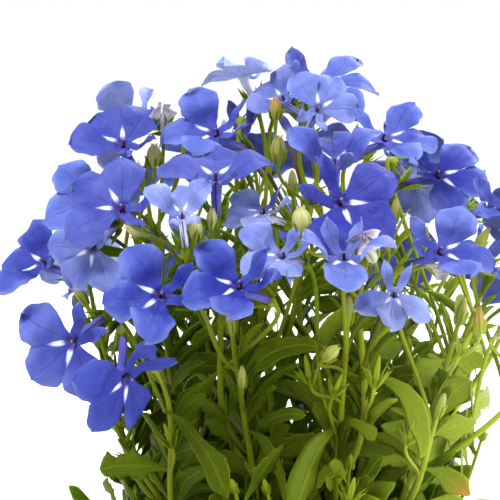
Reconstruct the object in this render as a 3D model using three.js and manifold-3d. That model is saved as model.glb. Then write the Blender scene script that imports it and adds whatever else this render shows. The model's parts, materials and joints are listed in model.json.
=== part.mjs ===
// A trailing lobelia (Lobelia erinus) in a round nursery pot.
// Millimetres, +Z up. The origin is the middle of the pot's underside.
// Eleven leafy shoots stand in plain holes in the soil. Each forks into limbs,
// and every flower hangs on its own stalk from a limb of its shoot.
import * as THREE from "three";
import { mergeVertices } from "three/addons/utils/BufferGeometryUtils.js";
import Module from "manifold-3d";

// Driving dimensions.
const POT = { rim: 52.5, foot: 37, high: 88, wall: 1.8, floor: 2.6, lip: 3.2, lipHigh: 9, sides: 26 };
const SOIL = { top: 80, gap: 0.4, hole: 9, sides: 22 };
const STEM = { foot: 1.15, side: 0.9, tip: 0.65, stalk: 0.55, sides: 5 };
const BLOOM = { tube: 8, heel: 0.8, lean: 48, blade: 0.64 };
const LEAF = { thick: 0.64, step: 15, single: 118 };
const CLEAR = 0.45;
const SPREAD = 39.5; // how far out the leaves placed by rule go, level with the rim
const REACH = 50; // and the largest leaves

// One row a shoot: its foot on the soil, then each limb's tip and where along
// the shoot's main limb it leaves. The first limb is the main one.
const SHOOTS = [
  { foot: [-15, -16], limbs: [[-39, -22, 128, 0], [-27, -33, 134, 0.45], [-43, -10, 146, 0.6]] },
  { foot: [-18, -3], limbs: [[-34, -3, 163, 0], [-28, -16, 155, 0.5]] },
  { foot: [-6, -20], limbs: [[-13, -30, 143, 0], [-17, -22, 157, 0.55]] },
  { foot: [7, -20], limbs: [[10, -31, 145, 0], [14, -23, 156, 0.5]] },
  { foot: [-2, -8], limbs: [[-10, -11, 163, 0], [3, -6, 166, 0.6]] },
  { foot: [12, -8], limbs: [[20, -9, 163, 0], [11, -13, 164, 0.6]] },
  { foot: [18, -16], limbs: [[33, -17, 143, 0], [28, -29, 126, 0.4], [46, -22, 132, 0.5]] },
  { foot: [20, 3], limbs: [[40, 0, 150, 0], [44, 12, 136, 0.5], [70, -8, 72, 0.08]] },
  { foot: [3, 12], limbs: [[0, 22, 166, 0], [-9, 32, 146, 0.5], [14, 33, 148, 0.6]] },
  { foot: [-14, 13], limbs: [[-30, 20, 152, 0], [-44, 12, 138, 0.5], [-46, 52, 64, 0.08]] },
  { foot: [15, 17], limbs: [[28, 24, 154, 0], [22, 40, 132, 0.5], [24, 68, 62, 0.08]] },
];

// One row a flower: its shoot, the place of its throat, the way it faces
// (turn from the front, lift over the horizon, roll of its lower lip), its
// size, how far the side lobes rise and how far they spread.
const BLOOMS = [
  [0, -52.4, -8, 155.3, -40, 45, 80, 0.95, 30, 62],
  [0, -44.9, -31, 141.9, -10, 5, 47, 1.05, 5, 68],
  [0, -33.4, -42.5, 136.2, 48, -12, 30, 1.1, 5, 60],
  [2, -26.7, -46, 153.1, 5, 32, 82, 1, 25, 64],
  [1, -35.1, -30, 168.6, -5, 38, 118, 1.1, 10, 60],
  [1, -41.5, -10, 168, -10, 42, 68, 0.95, 25, 62],
  [0, -41, -28, 160.5, -20, 10, 30, 0.85, 10, 60],
  [1, -34.5, 2, 184, -150, 25, -80, 1, 10, 60],
  [1, -35.5, -12, 180.3, 0, 50, 145, 1, 15, 64],
  [4, -16.5, -14, 182.6, -5, 54, 82, 0.98, 28, 62],
  [2, -16.2, -33, 175, 0, 64, 178, 1.04, 15, 70],
  [2, -22.6, -45.5, 168.6, 0, 48, 172, 0.76, 35, 50],
  [4, -10.7, 3, 193.5, 180, 60, 208, 0.78, 0, 62],
  [4, -2.8, -5, 189.2, -20, 50, 110, 0.72, 20, 60],
  [4, 5.6, 0, 192.6, 10, 60, -82, 1.05, 10, 48],
  [5, 4.5, -15, 187.5, 10, 25, -150, 0.8, 5, 60],
  [5, 7.5, -25, 177.3, 0, 65, 180, 1, 35, 62],
  [3, 8.5, -36, 170.3, 5, 32, -52, 1.08, 15, 68],
  [5, 18.2, -15, 181.7, 5, 55, -84, 0.95, 20, 56],
  [6, 29.6, -7, 173.5, 10, 44, -70, 0.97, 5, 62],
  [7, 42.5, -14, 167, 10, 30, -80, 1, 25, 62],
  [6, 28.8, -28, 159.8, 10, 48, -82, 1, 28, 64],
  [7, 25, 11, 171, 160, 15, 20, 0.9, 0, 60],
  [3, 8.6, -51, 161, 0, 66, 0, 0.95, 40, 66],
  [3, 18.6, -44, 153, 5, 46, 10, 0.74, 0, 60],
  [2, -11.6, -50, 155.5, 5, 52, 78, 1, 22, 62],
  [3, -3.2, -43, 160.5, 5, 52, 62, 0.8, 30, 62],
  [4, -7, -31, 168, -5, 60, 70, 0.72, 20, 60],
  [4, -11, 6, 181, 178, 25, 0, 0.85, 5, 58],
  [6, 46, -12, 153, 20, 20, -60, 0.85, 10, 60],
  [9, -46, 4, 157.4, -165, 15, 10, 0.9, 0, 60],
  [9, -38, 24, 166, -125, 40, 60, 1, 15, 62],
  [8, -20, 34, 176, -150, 45, -40, 1, 10, 62],
  [8, 2, 36, 178, 180, 40, 20, 1.05, 5, 64],
  [10, 24, 30, 174, 150, 45, 50, 1, 20, 60],
  [7, 42, 16, 164, 115, 40, -30, 0.95, 10, 62],
  [9, -43, 32, 149, -125, 30, -60, 0.95, 10, 62],
  [8, -26, 44, 152, -145, 25, 30, 1, 5, 66],
  [8, -2, 50, 155, 180, 28, -50, 1, 15, 60],
  [10, 22, 46, 152, 160, 30, 40, 1.05, 10, 62],
  [10, 42, 32, 150, 130, 30, -20, 1, 5, 64],
  [7, 54, 12, 142, 100, 25, 60, 0.95, 20, 60],
  [8, 5, 18, 187, 170, 66, 0, 0.95, 5, 62],
  [6, 54, -24, 144, 50, 30, -40, 0.95, 10, 62],
  [7, 74, -10, 84, 70, 30, 40, 0.9, 10, 62],
  [9, -49, 56, 77, -140, 30, -50, 0.9, 15, 60],
  [10, 26, 72, 76, 165, 30, 30, 0.9, 5, 62],
];

// The largest leaves, one row each: about where it leaves a stem, the way it
// points round the plant, how steeply, how far it bends down, its length and
// width, and how far it twists. The rule places the many others.
const LARGE = [
  [11, -28, 121, 235, -15, 60, 24, 6.6, 0.3],
  [21, -24, 127, 320, 15, 125, 25, 4.2, -0.3],
  [-20, -26, 138, 200, -45, 45, 17, 4, 0.2],
  [-6, -28, 128, 310, -10, 80, 19, 4.4, 0.2],
  [-27, -20, 127, 325, -30, 35, 22, 4.8, -0.4],
  [-6, -28, 115, 195, 0, 30, 10, 3.8, 0.3],
  [-7, -10, 142, 260, -55, 35, 18, 3.8, 0.3],
  [-2, -24, 144, 190, -5, 30, 15, 3.2, 0.1],
  [14, -26, 148, 205, -25, 30, 14, 5, -0.2],
  [28, -17, 128, 20, 60, 40, 13, 5.6, -0.5],
  [28, -20, 134, 12, 25, 20, 9, 5, 0.3],
  [36, -18, 134, 0, 5, 20, 8, 5, 0.6],
  [15, -24, 131, 340, 20, 90, 8, 3.2, 0],
  [28, -20, 113, 350, -10, 40, 11, 4.8, 0.4],
  [-24, -14, 106, 195, -5, 20, 13, 6.2, 0.5],
  [-24, -20, 108, 188, 15, 25, 14, 6.2, 0.3],
  [-30, -12, 114, 195, 10, 30, 7, 4.6, 0.4],
  [14, -30, 120, 330, -5, 60, 14, 4.8, 0.2],
  [-30, 12, 112, 130, 30, 50, 20, 7, 0.2],
  [-10, 34, 116, 100, 15, 60, 24, 6.6, -0.2],
  [26, 32, 114, 60, 20, 55, 24, 7, 0.3],
  [40, 10, 116, 75, 15, 50, 18, 6.4, -0.3],
  [31, -17, 142, 215, -15, 30, 9, 5.2, 0.2],
  [16, -10, 131, 195, 20, 70, 9, 3, 0],
];

const wasm = await Module();
wasm.setup();
const { sin, cos, tan, hypot, PI, min, max, abs, round, floor } = Math;
const RAD = PI / 180;

// Small vector sums on plain arrays.
const add = (a, b, k = 1) => [a[0] + b[0] * k, a[1] + b[1] * k, a[2] + b[2] * k];
const mix = (a, b, t) => add(a, add(b, a, -1), t);
const dot = (a, b) => a[0] * b[0] + a[1] * b[1] + a[2] * b[2];
const cross = (a, b) => [a[1] * b[2] - a[2] * b[1], a[2] * b[0] - a[0] * b[2], a[0] * b[1] - a[1] * b[0]];
const unit = (a) => add([0, 0, 0], a, 1 / (hypot(...a) || 1));
const far = (a, b) => hypot(a[0] - b[0], a[1] - b[1], a[2] - b[2]);

// A repeatable stream of numbers from 0 to 1 for one seed.
function draw(seed) {
  let a = seed >>> 0;
  return () => {
    a = (a + 0x6d2b79f5) >>> 0;
    let t = Math.imul(a ^ (a >>> 15), 1 | a);
    t = (t + Math.imul(t ^ (t >>> 7), 61 | t)) ^ t;
    return ((t ^ (t >>> 14)) >>> 0) / 4294967296;
  };
}

// A mesh's points and triangles as a solid.
function solid(points, faces) {
  return new wasm.Manifold(new wasm.Mesh({
    numProp: 3,
    vertProperties: new Float32Array(points.flat()),
    triVerts: new Uint32Array(faces.flat()),
  }));
}
function solidOf(geometry) {
  const g = geometry.clone();
  g.deleteAttribute("normal");
  g.deleteAttribute("uv");
  const m = mergeVertices(g, 1e-4);
  return new wasm.Manifold(new wasm.Mesh({
    numProp: 3,
    vertProperties: m.attributes.position.array,
    triVerts: new Uint32Array(m.index.array),
  }));
}
function geometryOf(body) {
  const m = body.getMesh();
  const g = new THREE.BufferGeometry();
  g.setAttribute("position", new THREE.BufferAttribute(new Float32Array(m.vertProperties), 3));
  g.setIndex(new THREE.BufferAttribute(new Uint32Array(m.triVerts), 1));
  const flat = g.toNonIndexed();
  flat.computeVertexNormals();
  return flat;
}

// What already takes up room: points with a radius and an owner, on a grid.
const CELL = 3;
const room = new Map();
const cell = (p) => p.map((v) => floor(v / CELL)).join();
function take(owner, points, radius) {
  for (const p of points) {
    const k = cell(p);
    if (!room.has(k)) room.set(k, []);
    room.get(k).push([p, radius, owner]);
  }
}
function free(skip, points, radius, gap = CLEAR) {
  for (const p of points)
    for (let i = -1; i < 2; i++)
      for (let j = -1; j < 2; j++)
        for (let k = -1; k < 2; k++) {
          const near = room.get(cell([p[0] + i * CELL, p[1] + j * CELL, p[2] + k * CELL]));
          if (near)
            for (const [q, r, who] of near)
              if (!skip.includes(who) && far(p, q) < radius + r + gap) return false;
        }
  return true;
}

// A point on a cubic curve through its four controls.
function along(c, t) {
  const s = 1 - t;
  return [0, 1, 2].map((i) => s * s * s * c[0][i] + 3 * s * s * t * c[1][i] + 3 * s * t * t * c[2][i] + t * t * t * c[3][i]);
}

// A mesh being built: rings of points, bands between two rings, and lids.
const blank = () => ({ points: [], faces: [] });
const put = (m, p) => m.points.push(p) - 1;
function band(m, a, b) {
  a.forEach((_, k) => {
    const j = (k + 1) % a.length;
    m.faces.push([a[k], a[j], b[j]], [a[k], b[j], b[k]]);
  });
}
function lid(m, ring) {
  for (let k = 1; k + 1 < ring.length; k++) m.faces.push([ring[0], ring[k], ring[k + 1]]);
}

// The direction and two sides at each point of a path, turned as little as
// possible from one to the next.
function framesOf(path, first = null) {
  let side = first;
  return path.map((p, i) => {
    const dir = unit(add(path[min(i + 1, path.length - 1)], path[max(i - 1, 0)], -1));
    side = side || cross(dir, abs(dir[2]) > 0.9 ? [1, 0, 0] : [0, 0, 1]);
    side = unit(add(side, dir, -dot(side, dir)));
    return { p, dir, side, up: cross(dir, side) };
  });
}
function ringAt(m, { p, side, up }, radius, turn = 0) {
  return Array.from({ length: STEM.sides }, (_, k) => {
    const a = (2 * PI * (k + turn)) / STEM.sides;
    return put(m, add(add(p, side, radius * cos(a)), up, radius * sin(a)));
  });
}

// A limb: rings along its curve, which run out into a bud. Leaves and stalks
// grow from single faces of it, so each face notes whether it is taken.
function limbFrom(curve, thick, sunk) {
  const long = lengthOf(curve), n = max(3, round((long - sunk) / LEAF.step));
  const ts = [0, ...Array.from({ length: n }, (_, i) => (sunk + ((i + 1) * (long - sunk)) / n) / long)];
  if (sunk) ts.splice(1, 0, sunk / long);
  const path = ts.map((t) => along(curve, t)), dir = unit(add(curve[3], curve[2], -1));
  const radii = ts.map((t) => thick + (STEM.tip - thick) * t);
  for (const [d, r] of [[1.8, 1.25], [3.9, 1.1], [6, 0.35]]) {
    path.push(add(curve[3], dir, d));
    radii.push(r);
  }
  const m = blank(), frames = framesOf(path);
  return { curve, m, ts, rings: frames.map((f, i) => ringAt(m, f, radii[i])), taken: new Set(), joints: ts.length - 1 };
}
function faceOf(limb, i, k, v = 0.5) {
  const j = (k + 1) % STEM.sides, { rings, m } = limb;
  const corners = [rings[i][k], rings[i][j], rings[i + 1][j], rings[i + 1][k]];
  const [a, b, c, d] = corners.map((v) => m.points[v]);
  const at = mix(mix(a, b, 0.5), mix(c, d, 0.5), v);
  const rise = unit(add(mix(c, d, 0.5), mix(a, b, 0.5), -1));
  const wide = far(mix(a, d, 0.5), mix(b, c, 0.5));
  const across = unit(add(add(b, a, -1), rise, -dot(add(b, a, -1), rise)));
  return { key: i * 10 + k, corners, at, rise, across, out: cross(across, rise), wide };
}
// Joins a ring inside a face to the face's four corners.
function patch(limb, face, ring) {
  const { m, taken } = limb;
  taken.add(face.key);
  const near = ring.map((v) => {
    const q = add(m.points[v], face.at, -1);
    return dot(q, face.rise) < 0 ? (dot(q, face.across) < 0 ? 0 : 1) : dot(q, face.across) < 0 ? 3 : 2;
  });
  ring.forEach((v, k) => {
    const next = ring[(k + 1) % ring.length], goal = near[(k + 1) % ring.length];
    let at = near[k];
    m.faces.push([face.corners[at], next, v]);
    while (at !== goal) {
      m.faces.push([face.corners[at], face.corners[(at + 1) % 4], next]);
      at = (at + 1) % 4;
    }
  });
}
function closed({ m, rings, taken }) {
  for (let i = 0; i + 1 < rings.length; i++)
    for (let k = 0; k < STEM.sides; k++) {
      if (taken.has(i * 10 + k)) continue;
      const j = (k + 1) % STEM.sides;
      m.faces.push([rings[i][k], rings[i][j], rings[i + 1][j]], [rings[i][k], rings[i + 1][j], rings[i + 1][k]]);
    }
  lid(m, [...rings[0]].reverse());
  lid(m, rings[rings.length - 1]);
  return solid(m.points, m.faces);
}

// A flower's own axes: it faces along n, d points down its lower lip.
function axesOf([, x, y, z, turn, lift, roll]) {
  const t = turn * RAD, l = lift * RAD, r = roll * RAD;
  const n = [sin(t) * cos(l), -cos(t) * cos(l), sin(l)];
  const right = [cos(t), sin(t), 0];
  const up = cross(right, n).map((v) => -v);
  const head = dot(up, [0, 0, 1]) < 0 ? up.map((v) => -v) : up;
  const d = add(head.map((v) => -v * cos(r)), right, -sin(r));
  const s = cross(d, n);
  const a = add(n.map((v) => v * cos(BLOOM.lean * RAD)), d, sin(BLOOM.lean * RAD));
  return { at: [x, y, z], n, d, s, a };
}
// Where the tube of a flower ends and its stalk begins.
const heel = (row, f) => add(f.at, f.a, -BLOOM.tube * row[7]);

// One lobe's stations: distance from the throat, half width, rise.
const BROAD = [[4.5, 2.5, 0.1], [7.7, 4.3, 0.1], [10.6, 2.3, -0.7]];
const NARROW = [[5, 1.6, 0.2], [9, 0, 0.9]];

function lobeAxes(f, angle, raise) {
  const a = angle * RAD, c = raise * RAD;
  const flat = add(f.d.map((v) => v * cos(a)), f.s, sin(a));
  const side = add(f.d.map((v) => -v * sin(a)), f.s, cos(a));
  const ax = add(flat.map((v) => v * cos(c)), f.n, sin(c));
  const nn = add(f.n.map((v) => v * cos(c)), flat, -sin(c));
  return { ax, side, nn };
}
// Each lobe's angle, rise and stations; broad lobes set close are narrower.
function lobesOf(row) {
  const slim = min(1, tan((row[9] / 2) * RAD) / 0.61);
  const broad = BROAD.map(([far, wide, rise]) => [far, wide * slim, rise]);
  return [[0, 4, broad], [row[9], row[8], broad], [152, 28, NARROW], [-152, 28, NARROW], [-row[9], row[8], broad]];
}

// One flower: five lobes that share the points between them, thin blades with
// a front and a back, on a short five-sided tube.
function bloom(row) {
  const f = axesOf(row), size = row[7], points = [], faces = [];
  const lobes = lobesOf(row);
  const front = [], back = [];
  const point = (p) => points.push(p) - 1;
  lobes.forEach(([angle], k) => {
    const before = lobes[(k + 4) % 5][0];
    const a = k === 0 ? angle - row[9] / 2 : k === 3 ? 180 : (angle + before) / 2;
    const r = size * (k < 2 ? 3.3 : k === 3 ? 1.4 : 2);
    const dir = add(f.d.map((v) => v * cos(a * RAD)), f.s, sin(a * RAD));
    front.push(point(add(f.at, dir, r)));
    back.push(point(add(add(f.at, dir, r - 0.1), f.n, -BLOOM.blade)));
  });
  const throat = point(add(f.at, f.n, -0.5));
  for (let k = 0; k < 5; k++) faces.push([throat, front[k], front[(k + 1) % 5]]);
  lobes.forEach(([angle, raise, shape], k) => {
    const { ax, side, nn } = lobeAxes(f, angle, raise);
    const j = (k + 1) % 5;
    const low = [], high = [];
    for (const [far, wide, rise] of shape) {
      const p = add(add(f.at, ax, far * size), nn, rise * size);
      for (const sign of wide ? [-1, 1] : [0]) {
        const q = add(p, side, sign * wide * size);
        high.push(point(q));
        low.push(point(add(q, nn, -BLOOM.blade)));
      }
    }
    let a = [front[k], front[j]], b = [back[k], back[j]];
    for (let i = 0; i + 1 < high.length; i += 2) {
      const c = [high[i], high[i + 1]], e = [low[i], low[i + 1]];
      faces.push([a[0], c[0], a[1]], [a[1], c[0], c[1]]);
      faces.push([b[0], b[1], e[0]], [b[1], e[1], e[0]]);
      faces.push([a[0], b[0], c[0]], [b[0], e[0], c[0]]);
      faces.push([a[1], c[1], b[1]], [b[1], c[1], e[1]]);
      a = c;
      b = e;
    }
    if (high.length % 2) {
      const c = high[high.length - 1], e = low[low.length - 1];
      faces.push([a[0], c, a[1]], [b[0], b[1], e]);
      faces.push([a[0], b[0], c], [b[0], e, c], [a[1], c, b[1]], [b[1], c, e]);
    } else faces.push([a[0], b[0], a[1]], [a[1], b[0], b[1]]);
  });
  const low = cross(f.a, f.s);
  const ring = lobes.map((_, k) => {
    const q = 72 * (k - 0.5) * RAD;
    return point(add(add(heel(row, f), low, BLOOM.heel * cos(q)), f.s, BLOOM.heel * sin(q)));
  });
  for (let k = 0; k < 5; k++) {
    const j = (k + 1) % 5;
    faces.push([back[k], ring[k], back[j]], [back[j], ring[k], ring[j]]);
  }
  for (let k = 1; k < 4; k++) faces.push([ring[0], ring[k + 1], ring[k]]);
  return solid(points, faces.map(([a, b, c]) => [a, c, b]));
}

// Points all over a flower, to keep other things clear of it.
function bloomPoints(row) {
  const f = axesOf(row), size = row[7], list = [];
  for (const [angle, raise, shape] of lobesOf(row)) {
    const { ax, side, nn } = lobeAxes(f, angle, raise);
    const all = [[1, 1, 0], ...shape];
    for (let i = 0; i + 1 < all.length; i++)
      for (const t of [0, 0.5, 1])
        for (const v of [-1, -0.5, 0, 0.5, 1]) {
          const w = mix(all[i], all[i + 1], t);
          list.push(add(add(add(f.at, ax, w[0] * size), nn, w[2] * size - 0.3), side, v * w[1] * size));
        }
  }
  for (let i = 0; i <= 5; i++) list.push(add(f.at, f.a, -BLOOM.tube * size * (i / 5.4)));
  return list;
}

// The curve of each limb. A limb starts upright, or along the limb it leaves.
function curvesOf(shoot) {
  const foot = [shoot.foot[0], shoot.foot[1], SOIL.top - SOIL.hole + 0.4];
  const curves = [];
  for (const [x, y, z, leave] of shoot.limbs) {
    const tip = [x, y, z];
    if (!curves.length) {
      const high = z - foot[2];
      curves.push([foot, add(foot, [0, 0, 1], 0.48 * high), add(tip, [x - foot[0], y - foot[1], 60], -0.4), tip]);
    } else {
      const from = along(curves[0], leave + (leave < 0.1 ? 0.14 : 0));
      const dir = unit(add(along(curves[0], leave + 0.16), from, -1));
      const span = far(from, tip);
      const over = z < SOIL.top + 15;
      const out = unit([x - from[0], y - from[1], 0]);
      curves.push(over
        ? [from, add(add(from, out, 0.34 * span), [0, 0, 1], 22), add(add(tip, out, -0.02 * span), [0, 0, 1], 26), tip]
        : [from, add(from, unit(mix(dir, out, 0.5)), 0.35 * span), add(tip, unit(add(mix(dir, out, 0.35), [0, 0, 0.5])), -0.3 * span), tip]);
    }
  }
  return curves;
}
const walk = (c, n) => Array.from({ length: n + 1 }, (_, i) => along(c, i / n));
const lengthOf = (c) => walk(c, 12).reduce((s, p, i, w) => (i ? s + far(p, w[i - 1]) : 0), 0);

// A leaf blade: its middle line bends over, and both faces follow it.
// Stations give the distance along it and the half width there.
const SMOOTH = [[0, 0.12], [0.36, 0.82], [0.72, 0.95]];
const TOOTHED = [[0, 0.14], [0.36, 0.6], [0.52, 1], [0.6, 0.72], [0.8, 0.9]];
function leafLine(spec) {
  const { at, azimuth, pitch, droop, long, wide, twist, toothed } = spec;
  const shape = toothed ? TOOTHED : SMOOTH;
  const out = [cos(azimuth), sin(azimuth), 0], across = [-sin(azimuth), cos(azimuth), 0];
  const rows = [];
  let p = at, was = 0;
  for (const [t, w] of [...shape, [1, 0]]) {
    const e = pitch - droop * (t + was) * 0.5;
    p = add(p, add(out.map((v) => v * cos(e)), [0, 0, 1], sin(e)), (t - was) * long);
    was = t;
    const here = pitch - droop * t;
    const up = add(out.map((v) => -v * sin(here)), [0, 0, 1], cos(here));
    const roll = twist * t;
    const side = add(across.map((v) => v * cos(roll)), up, sin(roll));
    const nn = add(up.map((v) => v * cos(roll)), across, -sin(roll));
    rows.push({ p, side, nn, half: max(w * wide * 0.5, t === 1 ? 0 : 0.45) });
  }
  return rows;
}
function leafPoints(spec) {
  const rows = leafLine(spec), list = [];
  for (let i = 0; i + 1 < rows.length; i++)
    for (const t of i ? [0, 0.25, 0.5, 0.75] : [0.4, 0.6, 0.8]) {
      const a = rows[i], b = rows[i + 1], p = mix(a.p, b.p, t), h = a.half * (1 - t) + b.half * t;
      for (const v of [-1, -0.5, 0, 0.5, 1]) list.push(add(p, a.side, v * h));
    }
  list.push(rows[rows.length - 1].p);
  return list;
}
function leaf(limb, face, spec) {
  const { m } = limb, h = LEAF.thick / 2, line = leafLine(spec);
  const way = dot(line[0].side, face.across) < 0 ? -1 : 1;
  const root = ([u, v]) => put(m, add(add(face.at, face.across, way * u * face.wide * 0.36), face.rise, way * v * 0.36));
  let last = [[1, 1], [-1, 1], [-1, -1], [1, -1]].map(root);
  patch(limb, face, last);
  for (const { p, side, nn, half } of line.slice(1)) {
    if (!half) {
      const top = put(m, add(p, nn, h)), under = put(m, add(p, nn, -h));
      m.faces.push([last[0], last[1], top], [last[2], last[3], under]);
      m.faces.push([last[1], last[2], under], [last[1], under, top]);
      m.faces.push([last[3], last[0], top], [last[3], top, under]);
    } else {
      const now = [[1, 1], [-1, 1], [-1, -1], [1, -1]].map(([u, v]) => put(m, add(add(p, side, u * half), nn, v * h)));
      band(m, last, now);
      last = now;
    }
  }
}

// The stalk of a flower: it leaves the face that suits it best, and ends in
// five long sepals made from its last ring.
const CUP = { ring: 1.3, seat: 1, long: 4.6, wide: 3, neck: 2.6 };
function stalkCurve(face, row, f) {
  const end = add(heel(row, f), f.a, -0.95), span = far(face.at, end);
  return [face.at, add(face.at, unit(add(face.out, face.rise, 0.9)), 0.32 * span), add(end, f.a, -0.27 * span), end];
}
function stalk(shoot, row, f, name) {
  const end = heel(row, f), choices = [];
  for (const limb of shoot.limbs)
    for (let i = 1; i < limb.joints; i++)
      for (let k = 0; k < STEM.sides; k++) {
        const face = faceOf(limb, i, k);
        if (limb.taken.has(face.key)) continue;
        const go = unit(add(end, face.at, -1)), d = far(face.at, end);
        choices.push([abs(d - 16) + 0.9 * max(0, face.at[2] - end[2] + 5) - 5 * min(0.6, dot(go, face.out)) - 4 * min(0.3, dot(go, f.a)), limb, face]);
      }
  choices.sort((a, b) => a[0] - b[0]);
  let best = null;
  for (const [, limb, face] of choices.slice(0, 60)) {
    const c = stalkCurve(face, row, f), w = walk(c, 14);
    if (!best) best = [limb, face, c];
    if (!free([name, limb.name], w.slice(0, -1), STEM.stalk) || !free([name], w.slice(4, -1), STEM.stalk)) continue;
    best = [limb, face, c];
    break;
  }
  const [limb, face, c] = best, { m } = limb;
  const path = walk(c, 3), stop = path.pop(), into = unit(add(stop, c[2], -1));
  path.push(add(stop, into, CUP.ring - CUP.neck), stop);
  const frames = framesOf(path, face.across);
  const base = { p: face.at, side: face.across, up: face.rise };
  let last = ringAt(m, base, min(0.42 * face.wide, 0.5), 0.5);
  patch(limb, face, last);
  frames.slice(1).forEach((fr, i) => {
    const now = ringAt(m, fr, i + 2 === frames.length ? CUP.ring : STEM.stalk, 0.5);
    band(m, last, now);
    last = now;
  });
  const tip = frames[frames.length - 1];
  const seat = ringAt(m, { ...tip, p: add(tip.p, tip.dir, 0.55) }, CUP.seat, 0.5);
  const points = ringAt(m, { ...tip, p: add(tip.p, tip.dir, CUP.long) }, CUP.wide, 1);
  last.forEach((v, k) => {
    const j = (k + 1) % STEM.sides;
    m.faces.push([v, last[j], points[k]], [seat[j], seat[k], points[k]], [v, points[k], seat[k]], [last[j], seat[j], points[k]]);
  });
  lid(m, seat);
  take(name, walk(c, 16), 0.7);
  return c;
}

// Flowers and limbs take their room first, then the stalks, then leaf after
// leaf wherever a drawn one is clear of all else.
const flowers = BLOOMS.map((row, i) => ({ row, name: "bloom_" + String(i + 1).padStart(2, "0"), f: axesOf(row) }));
flowers.forEach(({ row, name, f }) => {
  take(name, bloomPoints(row), 0.7);
  const end = add(heel(row, f), f.a, -0.95), u = cross(f.s, f.a);
  for (const [up, r] of [[0, 1.3], [2.4, 2.2], [4.6, 3]])
    for (let k = 0; k < 10; k++) {
      const q = 36 * k * RAD;
      take(name, [add(add(add(end, f.a, up), u, r * cos(q)), f.s, r * sin(q))], 0.3);
    }
});
const shoots = SHOOTS.map((shoot, i) => {
  const name = "shoot_" + String(i + 1).padStart(2, "0");
  const limbs = curvesOf(shoot).map((curve, k) => {
    const limb = limbFrom(curve, k ? STEM.side : STEM.foot, k ? 0 : 13);
    limb.name = name + "." + k;
    limb.trails = shoot.limbs[k][2] < SOIL.top;
    take(limb.name, walk(curve, 50), k ? STEM.side : STEM.foot);
    take(limb.name, [1.5, 3, 4.5, 6].map((d) => add(curve[3], unit(add(curve[3], curve[2], -1)), d)), 1.2);
    return limb;
  });
  return { name, limbs };
});
for (const fl of flowers) stalk(shoots[fl.row[0]], fl.row, fl.f, fl.name);
function grow(limb, face, spec, spread) {
  const points = leafPoints(spec);
  if (points.some(([x, y, z]) => (limb.trails ? z + 0.105 * y > 103 : hypot(x, y) > spread + 0.14 * (z - 105)))) return false;
  if (!free([limb.name], points, 0.4, 0.3) || !free([], points.slice(10), 0.4, 0.3)) return false;
  leaf(limb, face, spec);
  take("leaf", points, 0.4);
  return true;
}
const limbs = shoots.flatMap((shoot) => shoot.limbs);
for (const [x, y, z, azimuth, pitch, droop, long, wide, twist] of LARGE) {
  const way = [cos(azimuth * RAD), sin(azimuth * RAD), 0], choices = [];
  for (const limb of limbs)
    for (let i = 1; i < limb.joints; i++)
      for (let k = 0; k < STEM.sides; k++) {
        const face = faceOf(limb, i, k);
        if (!limb.taken.has(face.key) && dot(face.out, way) > 0.2) choices.push([far(face.at, [x, y, z]) - 3 * dot(face.out, way), limb, face]);
      }
  choices.sort((a, b) => a[0] - b[0]);
  choices.slice(0, 24).some(([, limb, face]) => grow(limb, face, {
    at: face.at, azimuth: azimuth * RAD, pitch: pitch * RAD, droop: droop * RAD, long, wide, twist, toothed: wide > 6,
  }, REACH));
}
shoots.forEach((shoot, i) => {
  shoot.limbs.forEach((limb, k) => {
    for (let j = 1; j < limb.joints; j++)
      for (let pair = 0; pair < 2; pair++)
        for (let attempt = 0; attempt < 10; attempt++) {
          const r = draw(i * 7919 + k * 1013 + (2 * j + pair) * 101 + attempt * 17 + 5);
          const face = faceOf(limb, j, (4 * j + 2 * pair + i + k + (attempt >> 1)) % STEM.sides, 0.28 + 0.44 * pair);
          if (limb.taken.has(face.key) || (pair && face.at[2] > LEAF.single)) continue;
          const low = max(0, min(1, (face.at[2] - 84) / 80)), size = (1 - 0.06 * attempt) * (0.85 + 0.3 * r());
          const spec = {
            at: face.at, azimuth: Math.atan2(face.out[1], face.out[0]) + (r() - 0.5) * 0.9,
            pitch: (60 - 18 * low + 16 * r()) * RAD, droop: (50 + 50 * r()) * RAD,
            long: (24 - 10 * low) * size, wide: (6.6 - 3.6 * low) * size,
            twist: (r() - 0.5) * 1.2, toothed: low < 0.45 && r() < 0.3,
          };
          if (grow(limb, face, spec, SPREAD)) break;
        }
  });
});

// The pot: one turned section with three drain holes through its floor.
function turned(profile, sides) {
  return solidOf(new THREE.LatheGeometry(profile.map(([x, y]) => new THREE.Vector2(x, y)), sides).rotateX(PI / 2));
}
function peg(x, y, z0, z1, r, sides) {
  return solidOf(new THREE.CylinderGeometry(r, r, z1 - z0, sides).rotateX(PI / 2).translate(x, y, (z0 + z1) / 2));
}
const slope = (POT.rim - POT.lip - POT.foot) / (POT.high - POT.lipHigh);
const wallAt = (z) => POT.foot + slope * z;
let pot = turned([
  [0, 0], [POT.foot, 0], [wallAt(POT.high - POT.lipHigh), POT.high - POT.lipHigh], [POT.rim - 0.6, POT.high - POT.lipHigh],
  [POT.rim, POT.high - 1.2], [POT.rim - 0.9, POT.high], [wallAt(POT.high) - POT.wall, POT.high],
  [wallAt(POT.floor) - POT.wall, POT.floor], [0, POT.floor],
], POT.sides);
for (let k = 0; k < 3; k++) {
  const a = (k * 120 + 30) * RAD;
  pot = pot.subtract(peg(22 * cos(a), 22 * sin(a), -2, POT.floor + 2, 4, 10));
}

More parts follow.
